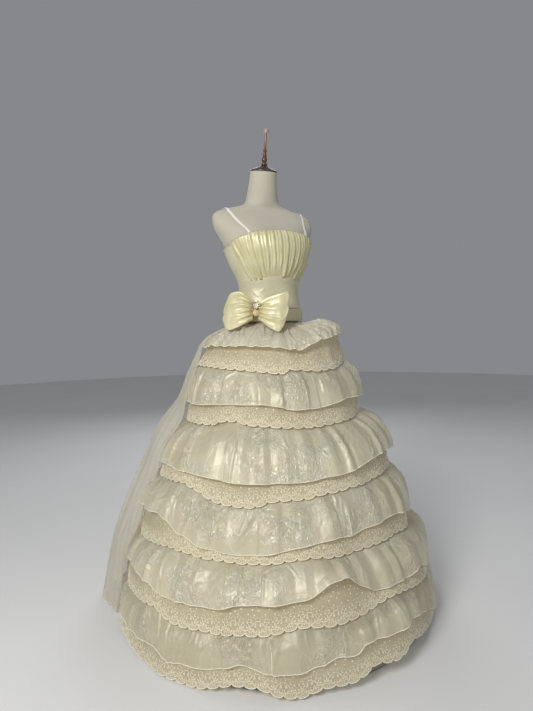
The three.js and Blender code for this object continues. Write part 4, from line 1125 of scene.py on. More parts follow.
# Long creases in the organza: tier, angle and share down at both ends, width and height in mm
CREASES = [
    (0, -96, 0.25, -78.4, 1.00, 3.0, 3.6), (0, -93.8, 0.17, -61.9, 0.95, 3.4, 4.4), (0, -48.9, 0.91, -34.5, 0.78, 2.8, 3.2), (0, -34.5, 0.78, -23.3, 0.63, 3.6, 4.0), (0, -1.6, 0.05, -9.8, 1.00, 3.0, 3.0),
    (0, -7.3, 0.61, -2.5, 0.97, 3.4, 4.6), (0, 43.7, 0.05, 20.5, 0.79, 2.8, 3.6), (0, -2.5, 0.97, 7.5, 0.98, 3.6, 4.4), (0, -16.2, 0.07, -26.0, 0.92, 3.0, 3.2), (0, 24.2, 0.50, 15.9, 1.00, 3.4, 4.0),
    (0, 58.4, 0.27, 31.2, 1.00, 2.8, 3.0), (0, -65.1, 0.05, -48.7, 0.74, 3.6, 4.6), (0, -35.3, 0.05, -29.5, 0.72, 3.0, 3.6), (1, -95.5, 0.26, -84.5, 0.85, 3.4, 4.4), (1, -73.3, 0.07, -69.6, 0.74, 2.8, 3.2),
    (1, -58.5, 0.45, -49.7, 0.06, 3.6, 4.0), (1, -49.7, 0.06, -34.5, 0.13, 3.0, 3.0), (1, -63.2, 0.70, -29.9, 0.88, 3.4, 4.6), (1, -34.4, 0.19, -28.9, 0.42, 2.8, 3.6), (1, -26.4, 0.53, -11.2, 0.42, 3.6, 4.4),
    (1, -11.2, 0.42, 9.6, 0.14, 3.0, 3.2), (1, 8.7, 0.58, 23.0, 0.60, 3.4, 4.0), (1, -2.9, 0.25, -7.9, 0.87, 2.8, 3.0), (1, 4.2, 0.20, 4.2, 0.58, 3.6, 4.6), (1, 9.0, 0.20, 8.5, 0.61, 3.0, 3.6),
    (1, -18.2, 0.71, -19.2, 0.96, 3.4, 4.4), (1, 12.7, 0.83, 20.6, 0.76, 2.8, 3.2), (1, 47.6, 0.18, 55.1, 0.72, 3.6, 4.0), (1, -27.0, 0.54, -19.3, 0.66, 3.0, 3.0), (2, -79.6, 0.05, -66.3, 0.78, 3.4, 4.6),
    (2, -95.3, 0.16, -67.8, 0.96, 2.8, 3.6), (2, -69.2, 0.05, -69.1, 0.33, 3.6, 4.4), (2, -48.5, 0.14, -44.5, 0.81, 3.0, 3.2), (2, -44.6, 0.17, -40.8, 0.58, 3.4, 4.0), (2, -36.2, 0.19, -25.6, 0.17, 2.8, 3.0),
    (2, -29.6, 0.41, -23.1, 0.19, 3.6, 4.6), (2, -33.2, 0.76, -27.6, 0.78, 3.0, 3.6), (2, -32.7, 0.83, -31.6, 0.96, 3.4, 4.4), (2, -21.6, 0.76, -20.2, 0.96, 2.8, 3.2), (2, -8.7, 0.05, 2.1, 0.05, 3.6, 4.0),
    (2, 12.0, 0.05, 23.2, 0.05, 3.0, 3.0), (2, 8.8, 0.45, 21.4, 0.13, 3.4, 4.6), (2, 18.5, 0.22, 3.4, 0.96, 2.8, 3.6), (2, 27.7, 0.60, 22.5, 0.98, 3.6, 4.4), (2, -39.6, 0.64, -34.6, 0.76, 3.0, 3.2),
    (2, -19.0, 0.22, -16.4, 0.49, 3.4, 4.0), (2, -59.8, 0.05, -54.2, 0.51, 2.8, 3.0), (3, -70.2, 0.11, -66.5, 0.87, 3.6, 4.6), (3, -82.1, 0.07, -83.3, 0.50, 3.0, 3.6), (3, -83.9, 0.83, -68.7, 0.38, 3.4, 4.4),
    (3, -74.3, 0.90, -71.0, 0.70, 2.8, 3.2), (3, -50.7, 0.39, -49.0, 0.90, 3.6, 4.0), (3, -44.9, 0.42, -42.1, 0.54, 3.0, 3.0), (3, -32.0, 0.18, -37.9, 0.67, 3.4, 4.6), (3, -26.1, 0.36, -28.4, 0.59, 2.8, 3.6),
    (3, -32.0, 0.18, -24.2, 0.32, 3.6, 4.4), (3, -19.3, 0.32, -2.1, 0.05, 3.0, 3.2), (3, 0.3, 0.05, -0.4, 0.40, 3.4, 4.0), (3, 3.1, 0.10, 1.2, 0.85, 2.8, 3.0), (3, -15.2, 0.53, -19.2, 0.80, 3.6, 4.6),
    (3, -7.5, 0.52, -9.0, 0.72, 3.0, 3.6), (3, 6.2, 0.54, 6.8, 0.73, 3.4, 4.4), (3, 12.3, 0.60, 16.1, 0.62, 2.8, 3.2), (3, -35.0, 0.05, -38.7, 0.63, 3.6, 4.0), (4, -81.5, 0.11, -71.5, 0.79, 3.0, 3.0),
    (4, -83.7, 0.33, -72.6, 0.69, 3.4, 4.6), (4, -66.8, 0.47, -64.1, 0.86, 2.8, 3.6), (4, -61.6, 0.09, -56.9, 0.30, 3.6, 4.4), (4, -53.5, 0.05, -52.9, 0.32, 3.0, 3.2), (4, -40.9, 0.05, -40.3, 0.41, 3.4, 4.0),
    (4, -36.6, 0.05, -34.7, 0.85, 2.8, 3.0), (4, -29.0, 0.05, -28.7, 0.90, 3.6, 4.6), (4, -32.4, 0.05, -32.3, 0.87, 3.0, 3.6), (4, -28.9, 0.25, -21.3, 0.06, 3.4, 4.4), (4, -21.3, 0.05, -17.7, 0.49, 2.8, 3.2),
    (4, -21.2, 0.92, -14.3, 1.00, 3.6, 4.0), (4, -4.8, 0.05, -4.6, 0.64, 3.0, 3.0), (4, -12.5, 0.79, -9.4, 0.70, 3.4, 4.6), (4, 3.6, 0.49, 2.4, 0.86, 2.8, 3.6), (4, 21.4, 0.05, 20.1, 0.27, 3.6, 4.4),
    (4, 0.2, 0.05, 0.4, 0.36, 3.0, 3.2), (5, -60.5, 0.05, -58.2, 0.97, 3.4, 4.0), (5, -58.8, 0.05, -56.7, 0.80, 2.8, 3.0), (5, -52.3, 0.57, -50.9, 0.05, 3.6, 4.6), (5, -49.1, 0.05, -48.2, 0.76, 3.0, 3.6),
    (5, -40.7, 0.13, -39.8, 0.71, 3.4, 4.4), (5, -34.1, 0.15, -34.1, 0.62, 2.8, 3.2), (5, -26.3, 0.16, -26.4, 0.92, 3.6, 4.0), (5, -16.2, 0.09, -15.8, 0.55, 3.0, 3.0), (5, -5.9, 0.26, -5.7, 0.98, 3.4, 4.6),
    (5, -1.0, 0.78, -1.1, 1.00, 2.8, 3.6), (5, 13.1, 0.05, 14.1, 0.86, 3.6, 4.4), (5, 6.2, 0.14, 4.7, 1.00, 3.0, 3.2), (5, -71.6, 0.05, -69.4, 0.96, 2.8, 3.0), (5, -65.7, 0.05, -63.2, 0.86, 3.6, 4.6),
]
# the same kind on the sides that the front view doesn't show, with uneven lengths and angles
for k in range(6):
    at = 52.0
    while at < 292:
        d0, v0 = at + rng.uniform(-3, 3), rng.uniform(0.15, 0.5)
        CREASES.append((k, d0, v0, d0 + rng.uniform(-14, 14) * (0.6 if k == 5 else 1), min(1.0, v0 + rng.uniform(0.15, 0.5)), rng.uniform(2.8, 3.8), rng.uniform(2.2, 3.6)))
        at += rng.uniform(9, 17)

# Crushed patches where the organza catches most light: tier, angle, share down, width in degrees, height
PATCHES = [
    (0, -58, .55, 16, .5), (0, 2, .75, 16, .4), (0, 26, .5, 18, .5), (0, -30, .35, 18, .4),
    (1, -64, .5, 20, .5), (1, -22, .45, 20, .45), (1, 14, .4, 18, .5), (1, 2, .3, 16, .4), (1, 42, .5, 14, .5),
    (2, -62, .5, 18, .5), (2, -34, .45, 20, .45), (2, -16, .45, 22, .5), (2, 6, .5, 14, .5), (2, 28, .5, 14, .6),
    (3, -74, .5, 18, .5), (3, -48, .5, 20, .45), (3, 16, .55, 12, .6), (3, -8, .6, 12, .4), (3, -28, .5, 14, .5), (3, 36, .5, 12, .5),
    (4, -76, .5, 18, .5), (4, -46, .5, 18, .5), (4, -24, .5, 16, .5), (4, 24, .4, 14, .4),
    (5, -68, .5, 14, .5), (5, -28, .45, 14, .4), (5, 8, .4, 14, .4), (5, -50, .4, 12, .4),
]
for k in range(6):
    at = 66.0
    while at < 290:
        PATCHES.append((k, at, rng.uniform(.35, .6), rng.uniform(12, 22), rng.uniform(.35, .55)))
        at += rng.uniform(22, 38)


def crease_height(k, deg, v, R, length):
    h = np.zeros(R.shape)
    mmdeg = R * RAD
    for kk, a0, v0, a1, v1, w, high in CREASES:
        if kk != k:
            continue
        am = (a0 + a1) / 2
        near = np.abs(turn(deg - am))[:, 0] < abs(a1 - a0) / 2 + 6
        if not near.any():
            continue
        L = length[near][:, None]
        px = turn(deg[near] - a0) * mmdeg[near]
        py = (v[near] - v0) * L
        dx = (a1 - a0) * mmdeg[near]
        dy = (v1 - v0) * L
        u = np.clip((px * dx + py * dy) / (dx * dx + dy * dy), 0, 1)
        bow = 5 * np.sin(np.pi * u) * math.sin(a0 * 1.7)
        lx, ly = u * dx, u * dy
        ln = np.hypot(dx, dy)
        side = ((px - lx) * dy - (py - ly) * dx) / ln
        d = np.hypot(px - lx, py - ly)
        d = np.where((u > 0) & (u < 1), np.abs(side - bow), d + np.abs(bow) * 0)
        h[near] += high * (np.exp(-(d / w) ** 2) - 0.35 * np.exp(-((d - 2.1 * w) / (1.3 * w)) ** 2)) * np.sin(np.pi * np.clip(u, 0.03, 0.97)) ** 0.5 * (v[near] > 0)
    return h


def patch_mask(k, deg, v):
    m = np.zeros(np.broadcast(deg, v).shape)
    for kk, at, vv, wd, wv in PATCHES:
        if kk == k:
            m = np.maximum(m, np.exp(-(turn(deg - at) / (wd * 0.5)) ** 2 - ((v - vv) / (wv * 0.6)) ** 2))
    return m


# Upright folds: the cloth falls in flat panels between fold lines, uneven in width and depth
PANEL_MM = [(14, 44), (18, 56), (20, 70), (22, 76), (24, 84), (26, 96)]
PANEL_DEPTH = [5.0, 6.4, 7.4, 7.6, 7.4, 6.6]


def panel_line(k):
    """Fold lines of a tier as rows of angle and offset."""
    lo_w, hi_w = PANEL_MM[k]
    mmdeg = TIERS[k][2] * RAD
    at, rows, side = -180.0, [], 1
    while at < 176:
        rows.append((at, side * rng.uniform(0.35, 1.0)))
        if rng.uniform() > 0.18:
            side = -side
        at += rng.uniform(lo_w, hi_w) * rng.uniform(0.6, 1.0) / mmdeg
    return rows


def panels(k, deg, v, rows):
    a = np.array([r[0] for r in rows])
    o = np.array([r[1] for r in rows])
    lean = 26 / (TIERS[k][2] * RAD)  # how far a line may lean over its length, in degrees
    warped = deg + lean * (0.5 - v) * ring_noise(deg + 0 * v, 13 + k, 211 + k) + 0.25 * lean * ring_noise(deg + 30 * v, 37, 221 + k)
    total = 0
    for off, w in ((-1.6, .25), (0, .5), (1.6, .25)):
        total = total + w * np.interp(warped + off / (TIERS[k][2] * RAD), a, o, period=360)
    return PANEL_DEPTH[k] * total * lerp(0.45, 1.0, step(0, 0.5, v)) * (v > 0)


# Edges where one panel laps a little over the next: tier, angle, height in mm, how far it fades in
# degrees (to the right of the edge, or to the left if negative), where down the tier it starts
STEPS = [
    (5, -26.4, 9.0, 11, .12), (5, -58.6, 10.0, 5, .05), (5, -54.6, 6.0, -3, .05), (5, 12.2, 8.0, 8, .1), (5, -0.9, 8.0, 7, .35), (5, -40.4, 5.0, 5, .2),
    (4, -40.6, 7.0, 5, .05), (4, -36.0, 6.0, -4, .05), (4, -28.8, 8.0, 8, .05), (4, -64.6, 7.0, 5, .2), (4, -4.8, 6.0, 6, .1), (4, -73, 7.0, -5, .1),
    (3, -68.4, 9.0, 7, .1), (3, -49.6, 6.0, 4, .35), (3, -1.2, 6.0, -5, .15), (3, 2.6, 6.0, 6, .1), (3, -30.0, 6.0, 5, .3),
    (2, -69.2, 8.0, 6, .05), (2, -46.4, 9.0, 6, .1), (2, -41.6, 7.0, -4, .1), (2, 14.0, 6.0, 5, .3), (2, -19.6, 5.0, 5, .2), (2, 24.6, 6.0, -5, .5),
    (1, -70.4, 6.0, 5, .1), (1, -3.4, 6.0, 5, .3), (1, 4.2, 5.0, -4, .2), (1, 51, 7.0, 6, .15), (1, -33, 5.0, 5, .1),
    (0, -9.4, 6.0, 7, .05), (0, 16.5, 6.0, -6, .4), (0, 36, 7.0, 8, .25), (0, -50, 5.0, 5, .1),
]
for k in range(6):
    at = 62.0
    while at < 284:
        STEPS.append((k, at, rng.uniform(5, 9), rng.uniform(5, 9) * (1 if rng.uniform() > 0.4 else -1), rng.uniform(0.05, 0.35)))
        at += rng.uniform(14, 34)


def laps(k, deg, v):
    h = np.zeros(np.broadcast(deg, v).shape)
    for kk, at, high, fade, start in STEPS:
        if kk == k:
            x = turn(deg - at + 1.2 * (v - 0.5) * math.sin(at)) * (1 if fade > 0 else -1)
            h = h + high * step(-0.35, 0.35, x) * np.exp(-np.maximum(x, 0) / abs(fade)) * step(start, start + 0.35, v)
    return h


# Laps whose rolled edge turns up from the hem: tier, angle, how far down the tier it starts
TURNED = [(5, -26.4, 0.42), (4, -28.8, 0.62), (3, 2.6, 0.55), (2, -46.4, 0.6), (5, 118.0, 0.5), (3, 204.0, 0.55)]
for k, at, start in TURNED[4:]:
    STEPS.append((k, at, 9.0, 9, 0.1))


ORGANZA_COLS = [600, 660, 800, 860, 900, 940]


def build_organza(k):
    n = ORGANZA_COLS[k]
    rows = [31, 26, 30, 30, 32, 28][k]
    deg1 = -180 + 360 * np.arange(n) / n
    R, Z, v = organza_profile(k, deg1, rows=rows)
    deg = deg1[:, None]
    P = place(deg, R, Z, skirt_c(Z))
    D = lengths_down(P) / MM
    length = D[:, -1] - np.array([D[i, np.argmax(v[i] > 0)] for i in range(n)])
    N = grid_normals(P, True)
    down = v * length[:, None]  # mm below the tuck
    visible = step(0.0, 0.10, v)
    # gathers that fan out of the seam above
    s = np.broadcast_to(deg, R.shape)
    gather = (
        2.6 * ring_noise(s, TIERS[k][2] * 2 * np.pi / 21, 71 + k) * np.exp(-down / 30)
        + 3.4 * ring_noise(s + 0.4 * ring_noise(s, 40, 5), TIERS[k][2] * 2 * np.pi / 52, 81 + k) * np.exp(-down / 85)
    ) * step(0, 0.05, v)
    # rolling unevenness, crushed facets and sharp small creases
    Q = P + 0.018 * np.stack([noise(P * 9, 41), noise(P * 9, 42), noise(P * 9, 43)], -1)
    roll = 2.6 * noise(Q * [8, 8, 9], 90 + k)
    c1 = ridged(noise(Q * [15, 15, 21], 100 + k))
    c2 = ridged(noise(Q * [31, 31, 40], 110 + k))
    mask = patch_mask(k, deg, v)
    crush = (0.5 + 2.6 * mask) * (c1 - 0.35) + (0.2 + 1.9 * mask) * (c2 - 0.35)
    h = gather + visible * (roll + crush + panels(k, deg, v, panel_line(k)))
    h = h + crease_height(k, deg, v, R, length) + laps(k, deg, v)
    # the rolled hem holds the edge a little
    calm = 1 - 0.12 * step(0.80, 1.0, v)
    h = h * calm
    h = np.where(v > 0, h, 0.0)
    h = np.clip(h, -lerp(2.0, 4.5, step(0.02, 0.25, v)), lerp(1.0, 15.0, step(0.02, 0.25, v)))
    P = P + N * (h * MM)[..., None]
    P[..., 2] = np.maximum(P[..., 2], 0.004)
    circ = float(np.linalg.norm(np.diff(np.concatenate([P[:, -1], P[:1, -1]]), axis=0), axis=1).sum())
    u = deg / 360 * circ + 0 * R
    ob = make(f"organza_tier_{k + 1}", P, grid_faces(n, P.shape[1], True), {0: ORGANZA_FLAP_PAINTED_LIGHT, 5: ORGANZA_SHEER}.get(k, ORGANZA), np.stack([u, -D * MM], -1))
    shown(ob, f"tier{k + 1}_organza")
    # narrow rolled hem
    line = P[:, -1]
    t = np.roll(line, -1, 0) - np.roll(line, 1, 0)
    V, F = tube(line, 0.0013, 4, True, normals=N[:, -1])
    for kk, at, start in TURNED:
        if kk == k:
            col = int(round((at + 0.25 + 180) / 360 * n)) % n
            j = int(np.argmax(v[col] >= start))
            V2, F2 = tube(P[col, j:] + N[col, j:] * 0.0006, 0.0012, 4, False, normals=N[col, j:])
            V, F = joined([(V, F), (V2, F2)])
    cord = make(f"organza_hem_{k + 1}", V, F, CORD)
    shown(cord)
    return ob, cord, circ, float(length.mean() * MM + (D[:, 4].mean()) * MM)


SCALLOP = 38.0


def lace_profile(k, deg, hidden=3, rows=11):
    seam = TIERS[k][1]
    deg = deg[:, None]
    r1, z1, er, ez = hem_at(k, deg)
    R, Z, v = organza_profile(k, deg[:, 0], rows=24)
    # the lace runs inside the organza, and shows from its hem down
    i = 5 + 14 if k else 19
    ra, za = R[:, i:i + 1] - 14, Z[:, i:i + 1] - 3
    w = on_lining(deg, seam, 1.0)
    s = np.linspace(0, 1, hidden, endpoint=False)[None, :]
    t = np.linspace(0, 1, rows)[None, :]
    Rt = lerp(ra, er, t) + 2.2 * np.sin(np.pi * t)
    Zt = lerp(za, ez, t)
    return np.concatenate([lerp(w, ra, s), Rt], 1), np.concatenate([lerp(seam, za, s), Zt], 1)


class Band:
    """The lower part of a lace flounce as a surface: points at an angle and a height above its edge."""

    def __init__(self, k, n=1440, reach=150.0, pitch=3.0):
        self.n = n
        deg = -180 + 360 * np.arange(n) / n
        R, Z = lace_profile(k, deg, rows=30)
        P = place(deg[:, None], R, Z, skirt_c(Z)) / MM
        h = lace_ripple(k, deg[:, None], P * MM, R)
        P = P + grid_normals(P, True) * h[..., None]
        P = P[:, ::-1]
        d = np.concatenate([np.zeros((n, 1)), np.cumsum(np.linalg.norm(np.diff(P, axis=1), axis=-1), 1)], 1)
        self.ds = np.arange(0, reach + pitch, pitch)
        self.pitch = pitch
        self.P = np.stack([np.stack([np.interp(self.ds, d[i], P[i, :, c]) for c in range(3)], -1) for i in range(n)])
        self.N = grid_normals(self.P[:, ::-1], True)[:, ::-1]
        self.r = np.hypot(self.P[:, 0, 0], self.P[:, 0, 1])
        self.around = float(np.linalg.norm(self.P[:, 0] - np.roll(self.P[:, 0], 1, 0), axis=1).sum())

    def at(self, deg, d, h):
        """Points in metres for angle, mm above the edge and mm off the cloth."""
        x = ((np.asarray(deg, float) + 180) / 360 * self.n) % self.n
        y = np.asarray(d, float) / self.pitch
        i0, fx = np.floor(x).astype(int), x - np.floor(x)
        j0 = np.clip(np.floor(y).astype(int), 0, len(self.ds) - 2)
        fy = y - j0
        i1 = (i0 + 1) % self.n
        i0 = i0 % self.n
        def read(A):
            a = A[i0, j0] * (1 - fx)[..., None] + A[i1, j0] * fx[..., None]
            b = A[i0, j0 + 1] * (1 - fx)[..., None] + A[i1, j0 + 1] * fx[..., None]
            return a * (1 - fy)[..., None] + b * fy[..., None]
        return (read(self.P) + read(self.N) * np.asarray(h, float)[..., None]) * MM


def lace_ripple(k, deg, P, R):
    """Small unevenness of the lace, the same for the net and what is worked on it."""
    h = 1.8 * noise(P * [11, 11, 9], 130 + k) + 1.2 * noise(P * [24, 24, 16], 140 + k)
    last = R.shape[1]
    fade = np.clip(np.arange(last) / (last * 0.5), 0, 1)[None, :]
    return h * fade


def scallop(u):
    """Lower edge of a scallop, mm above its lowest point, for u 0..1 across it."""
    x = np.abs(2 * (u % 1.0) - 1)
    return 8.5 * (1 - np.sqrt(np.maximum(1 - x ** 2.3, 0)))


def build_lace(k):
    band = Band(k)
    count = int(round(band.around / SCALLOP))
    per = 8
    n = count * per
    deg1 = -180 + 360 * np.arange(n) / n
    R, Z = lace_profile(k, deg1)
    P = place(deg1[:, None], R, Z, skirt_c(Z))
    P = P + grid_normals(P, True) * (lace_ripple(k, deg1[:, None], P, R) * MM)[..., None]
    # cut the lower edge into scallops: the last rows slide up the cloth
    D = lengths_down(P) / MM
    up = scallop(np.arange(n) / per)
    full = D[:, -1]
    target = D * ((full - up) / full)[:, None]
    target = np.where(D < full[:, None] - 60, D, target + (D - target) * np.clip((full[:, None] - D) / 60, 0, 1))
    P = np.stack([np.stack([np.interp(target[i], D[i], P[i, :, c]) for c in range(3)], -1) for i in range(n)])
    P[..., 2] = np.maximum(P[..., 2], 0.003)
    u = deg1[:, None] / 360 * band.around * MM + 0 * R
    ob = make(f"lace_tier_{k + 1}", P, grid_faces(n, P.shape[1], True), NET, np.stack([u, -D * MM], -1))
    shown(ob, f"tier{k + 1}_lace")
    return ob, band, count, float(full.mean() * MM)


# One repeat of the worked border, flat, in mm: x across the scallop, y up from its lowest point.
def petal(cx, cy, ang, length, width, high=1.1, fat=0.5):
    """A raised leaf: a ring of 6 points round its middle."""
    a = ang * RAD
    t = np.arange(6) * (np.pi / 3)
    lx = 0.5 * length * (1 - np.cos(t))
    ly = 0.5 * width * np.sin(t) * (0.75 + 0.25 * np.cos(t * 0.5))
    x = np.concatenate([[0.5 * length * (1 + 0.1 * fat)], lx])
    y = np.concatenate([[0.0], ly])
    h = np.concatenate([[high], np.full(6, 0.15)])
    V = np.stack([cx + x * math.cos(a) - y * math.sin(a), cy + x * math.sin(a) + y * math.cos(a), h], -1)
    i = np.arange(6)
    return V, np.stack([np.zeros(6, int), 1 + i, 1 + (i + 1) % 6], -1)


def dot(cx, cy, r, high=0.9):
    t = np.arange(6) * (np.pi / 3)
    V = np.concatenate([[[cx, cy, high]], np.stack([cx + r * np.cos(t), cy + r * np.sin(t), np.full(6, 0.12)], -1)])
    i = np.arange(6)
    return V, np.stack([np.zeros(6, int), 1 + i, 1 + (i + 1) % 6], -1)


def stem(points, width=1.5, high=0.8):
    p = np.array(points, float)
    t = np.gradient(p, axis=0)
    t /= np.linalg.norm(t, axis=1, keepdims=True)
    s = np.stack([-t[:, 1], t[:, 0]], -1) * width / 2
    V = np.concatenate([
        np.c_[p + s, np.full(len(p), 0.12)], np.c_[p, np.full(len(p), high)], np.c_[p - s, np.full(len(p), 0.12)],
    ])
    m = len(p)
    i = np.arange(m - 1)
    F = np.concatenate([
        np.stack([i, i + m, i + m + 1, i + 1], -1), np.stack([i + m, i + 2 * m, i + 2 * m + 1, i + m + 1], -1),
    ])[:, ::-1]
    return V, np.concatenate([F[:, [0, 1, 2]], F[:, [0, 2, 3]]])


def flower(cx, cy, r, petals, turned_by=0.0, width=0.62):
    out = [petal(cx + 0.16 * r * math.cos(a * RAD), cy + 0.16 * r * math.sin(a * RAD), a, r * 0.9, r * width) for a in turned_by + 360 / petals * np.arange(petals)]
    out.append(dot(cx, cy, r * 0.24, 1.8))
    return out


def repeat(kind):
    """The pieces of one scallop; kind 0 has an open flower in it, kind 1 a spray of leaves."""
    rim = [(x, scallop(x / SCALLOP + 0.5) + 1.6) for x in np.linspace(-SCALLOP / 2, SCALLOP / 2, 9)]
    inner = [(x, scallop(x / SCALLOP + 0.5) * 1.1 + 6.4) for x in np.linspace(-SCALLOP / 2, SCALLOP / 2, 8)]
    parts = [stem(rim, 2.6, 1.3), stem(inner, 1.1, 0.7)]
    parts += [dot(x, scallop(x / SCALLOP + 0.5) * 1.05 + 4.0, 0.9, 0.8) for x in (-12.5, -6.5, 0, 6.5, 12.5)]
    # a curled spray that leans one way, leaves on both its sides, a small flower in its curl
    s = 1 if kind == 0 else -1
    curl = [(-15, 10), (-10, 14.5), (-3.5, 15.5), (3, 14), (8, 16), (10.5, 21), (9, 26.5), (4.5, 28.5), (0.5, 26)]
    parts += [stem([(s * x, y) for x, y in curl], 1.4, 0.9)]
    for x, y, a, ln, w in (
        (-13, 12, 118, 8.0, 3.4), (-9, 15, 70, 8.0, 3.2), (-9, 13.5, -58, 5.0, 2.6), (-3, 16, 100, 7.5, 3.2), (-2, 14.6, -66, 6.0, 2.8),
        (4, 14, -52, 6.5, 3.0), (9, 17, 10, 7.0, 3.2), (10.5, 22, 46, 7.0, 3.2), (7, 28, 84, 7.5, 3.2), (1, 28, 128, 6.0, 2.8), (16, 13, 84, 8.0, 3.4),
        (15.5, 22, 104, 7.0, 3.0),
    ):
        parts += [petal(s * x, y, a if s > 0 else 180 - a, ln, w, 0.9)]
    parts += flower(s * 3.4, 21.6, 4.6, 5, 20 * s)
    second = [(-14, 44), (-11, 38), (-6, 35.5), (-1, 37.5), (0.5, 42), (-2.5, 45)]
    parts += [stem([(s * x, y) for x, y in second], 1.2, 0.8)]
    for x, y, a, ln, w in ((-13, 42, 186, 6.0, 2.8), (-10, 37, 226, 6.5, 2.8), (-5, 35.5, -62, 6.5, 2.8), (-0.5, 38.5, 0, 6.5, 2.8), (0.5, 43, 60, 6.5, 2.8), (-12, 46, 96, 6.0, 2.6)):
        parts += [petal(s * x, y, a if s > 0 else 180 - a, ln, w, 0.9)]
    parts += flower(-s * 11.5, 29.5 if kind else 30.5, 4.2, 5, 90)
    parts += flower(s * 12.5, 38 if kind else 36.5, 3.6, 5, 10)
    parts += [dot(s * 9, 46.5, 1.5), dot(s * 15.5, 44, 1.2), dot(-s * 5.5, 51.5, 1.6), dot(s * 3, 53, 1.3), dot(-s * 16, 52, 1.2), dot(-s * 6.5, 24, 1.0), dot(s * 16.8, 30.5, 1.1), dot(-s * 16.5, 22, 1.3)]
    V, F = [], []
    at = 0
    for v, f in parts:
        V.append(v)
        F.append(f + at)
        at += len(v)
    return np.concatenate(V), np.concatenate(F)


REPEATS = [repeat(0), repeat(1)]


def build_embroidery(k, band, count):
    """The worked border and the spots above it, set out along the scallops of a tier as one mesh."""
    Vs, Fs, at = [], [], 0
    mmdeg = band.around / 360
    for kind in (0, 1):
        V, F = REPEATS[kind]
        which = np.arange(kind, count, 2)
        m = len(which)
        X = np.broadcast_to(V[None, :, 0], (m, len(V))) * (band.around / count / SCALLOP)
        jig = rng.uniform(-0.5, 0.5, (m, 1)) * (V[None, :, 1] > 12)
        deg = -180 + 360 * (which[:, None] + 0.5) / count + (X + jig) / mmdeg
        d = V[None, :, 1] + jig * 0.8
        pts = band.at(deg, np.broadcast_to(d, deg.shape), np.broadcast_to(V[None, :, 2] + 0.25, deg.shape))
        Vs.append(pts.reshape(-1, 3))
        Fs.append((F[None] + (np.arange(m) * len(V))[:, None, None]).reshape(-1, 3) + at)
        at += m * len(V)
    # scattered spots in loose rows above the border
    rows = [(60, 0.5), (71, 0.0), (82, 0.5), (94, 0.0), (107, 0.5)] if k else [(59, 0.5), (69, 0.0), (80, 0.5)]
    V, F = dot(0, 0, 2.3, 1.1)
    for y, off in rows:
        m = int(count * 1.35)
        c = -180 + 360 * (np.arange(m) + off) / m + rng.uniform(-0.28, 0.28, m) * 360 / m
        yy = y + rng.uniform(-3.5, 3.5, m)
        size = rng.uniform(0.8, 1.15, m)[:, None]
        deg = c[:, None] + V[None, :, 0] * size / mmdeg
        pts = band.at(deg, yy[:, None] + V[None, :, 1] * size, np.broadcast_to(V[None, :, 2] + 0.25, deg.shape))
        Vs.append(pts.reshape(-1, 3))
        Fs.append((F[None] + (np.arange(m) * len(V))[:, None, None]).reshape(-1, 3) + at)
        at += m * len(V)
    V = np.concatenate(Vs)
    V[:, 2] = np.maximum(V[:, 2], 0.0025)
    ob = make(f"lace_border_{k + 1}", V, np.concatenate(Fs), EMBROIDERY)
    return shown(ob)


for k in range(6):
    og, cord, circ, drop = build_organza(k)
    lc, band, count, ldrop = build_lace(k)
    em = build_embroidery(k, band, count)
    print(f"tier {k + 1}: organza {circ:.3f} x {drop:.3f}, lace {band.around / 1000:.3f} x {ldrop:.3f}, {count} scallops")


# ---------------------------------------------------------------- lining
def build_lining():
    n, rows = 180, 40
    deg = (-180 + 360 * np.arange(n) / n)[:, None]
    z = np.linspace(1068.4, 5, rows)[None, :]
    R = on_lining(deg, z) - 0.2
    P = place(deg, R, z, skirt_c(z))
    h = (1.6 * ring_noise(deg + 0 * z, 44, 151) + 1.2 * noise(P * [7, 7, 3], 152)) * step(1060, 900, z) - 1.2
    P = P + grid_normals(P, True) * (h * MM)[..., None]
    P[..., 2] = np.maximum(P[..., 2], 0.003)
    return shown(shell("lining_cone", P, 0.0012, LINING, True), "skirt_lining")


LINING_OB = build_lining()

# ---------------------------------------------------------------- overlay
OVERLAY = np.array([
    (985, 276, 14, 1.5), (868, 326, 16, 3), (795, 345, 17, 4), (680, 422, 16, 6), (585, 465, 16, 8), (410, 545, 15, 10),
    (240, 607, 12, 12), (8, 655, 8, 14),
], float)


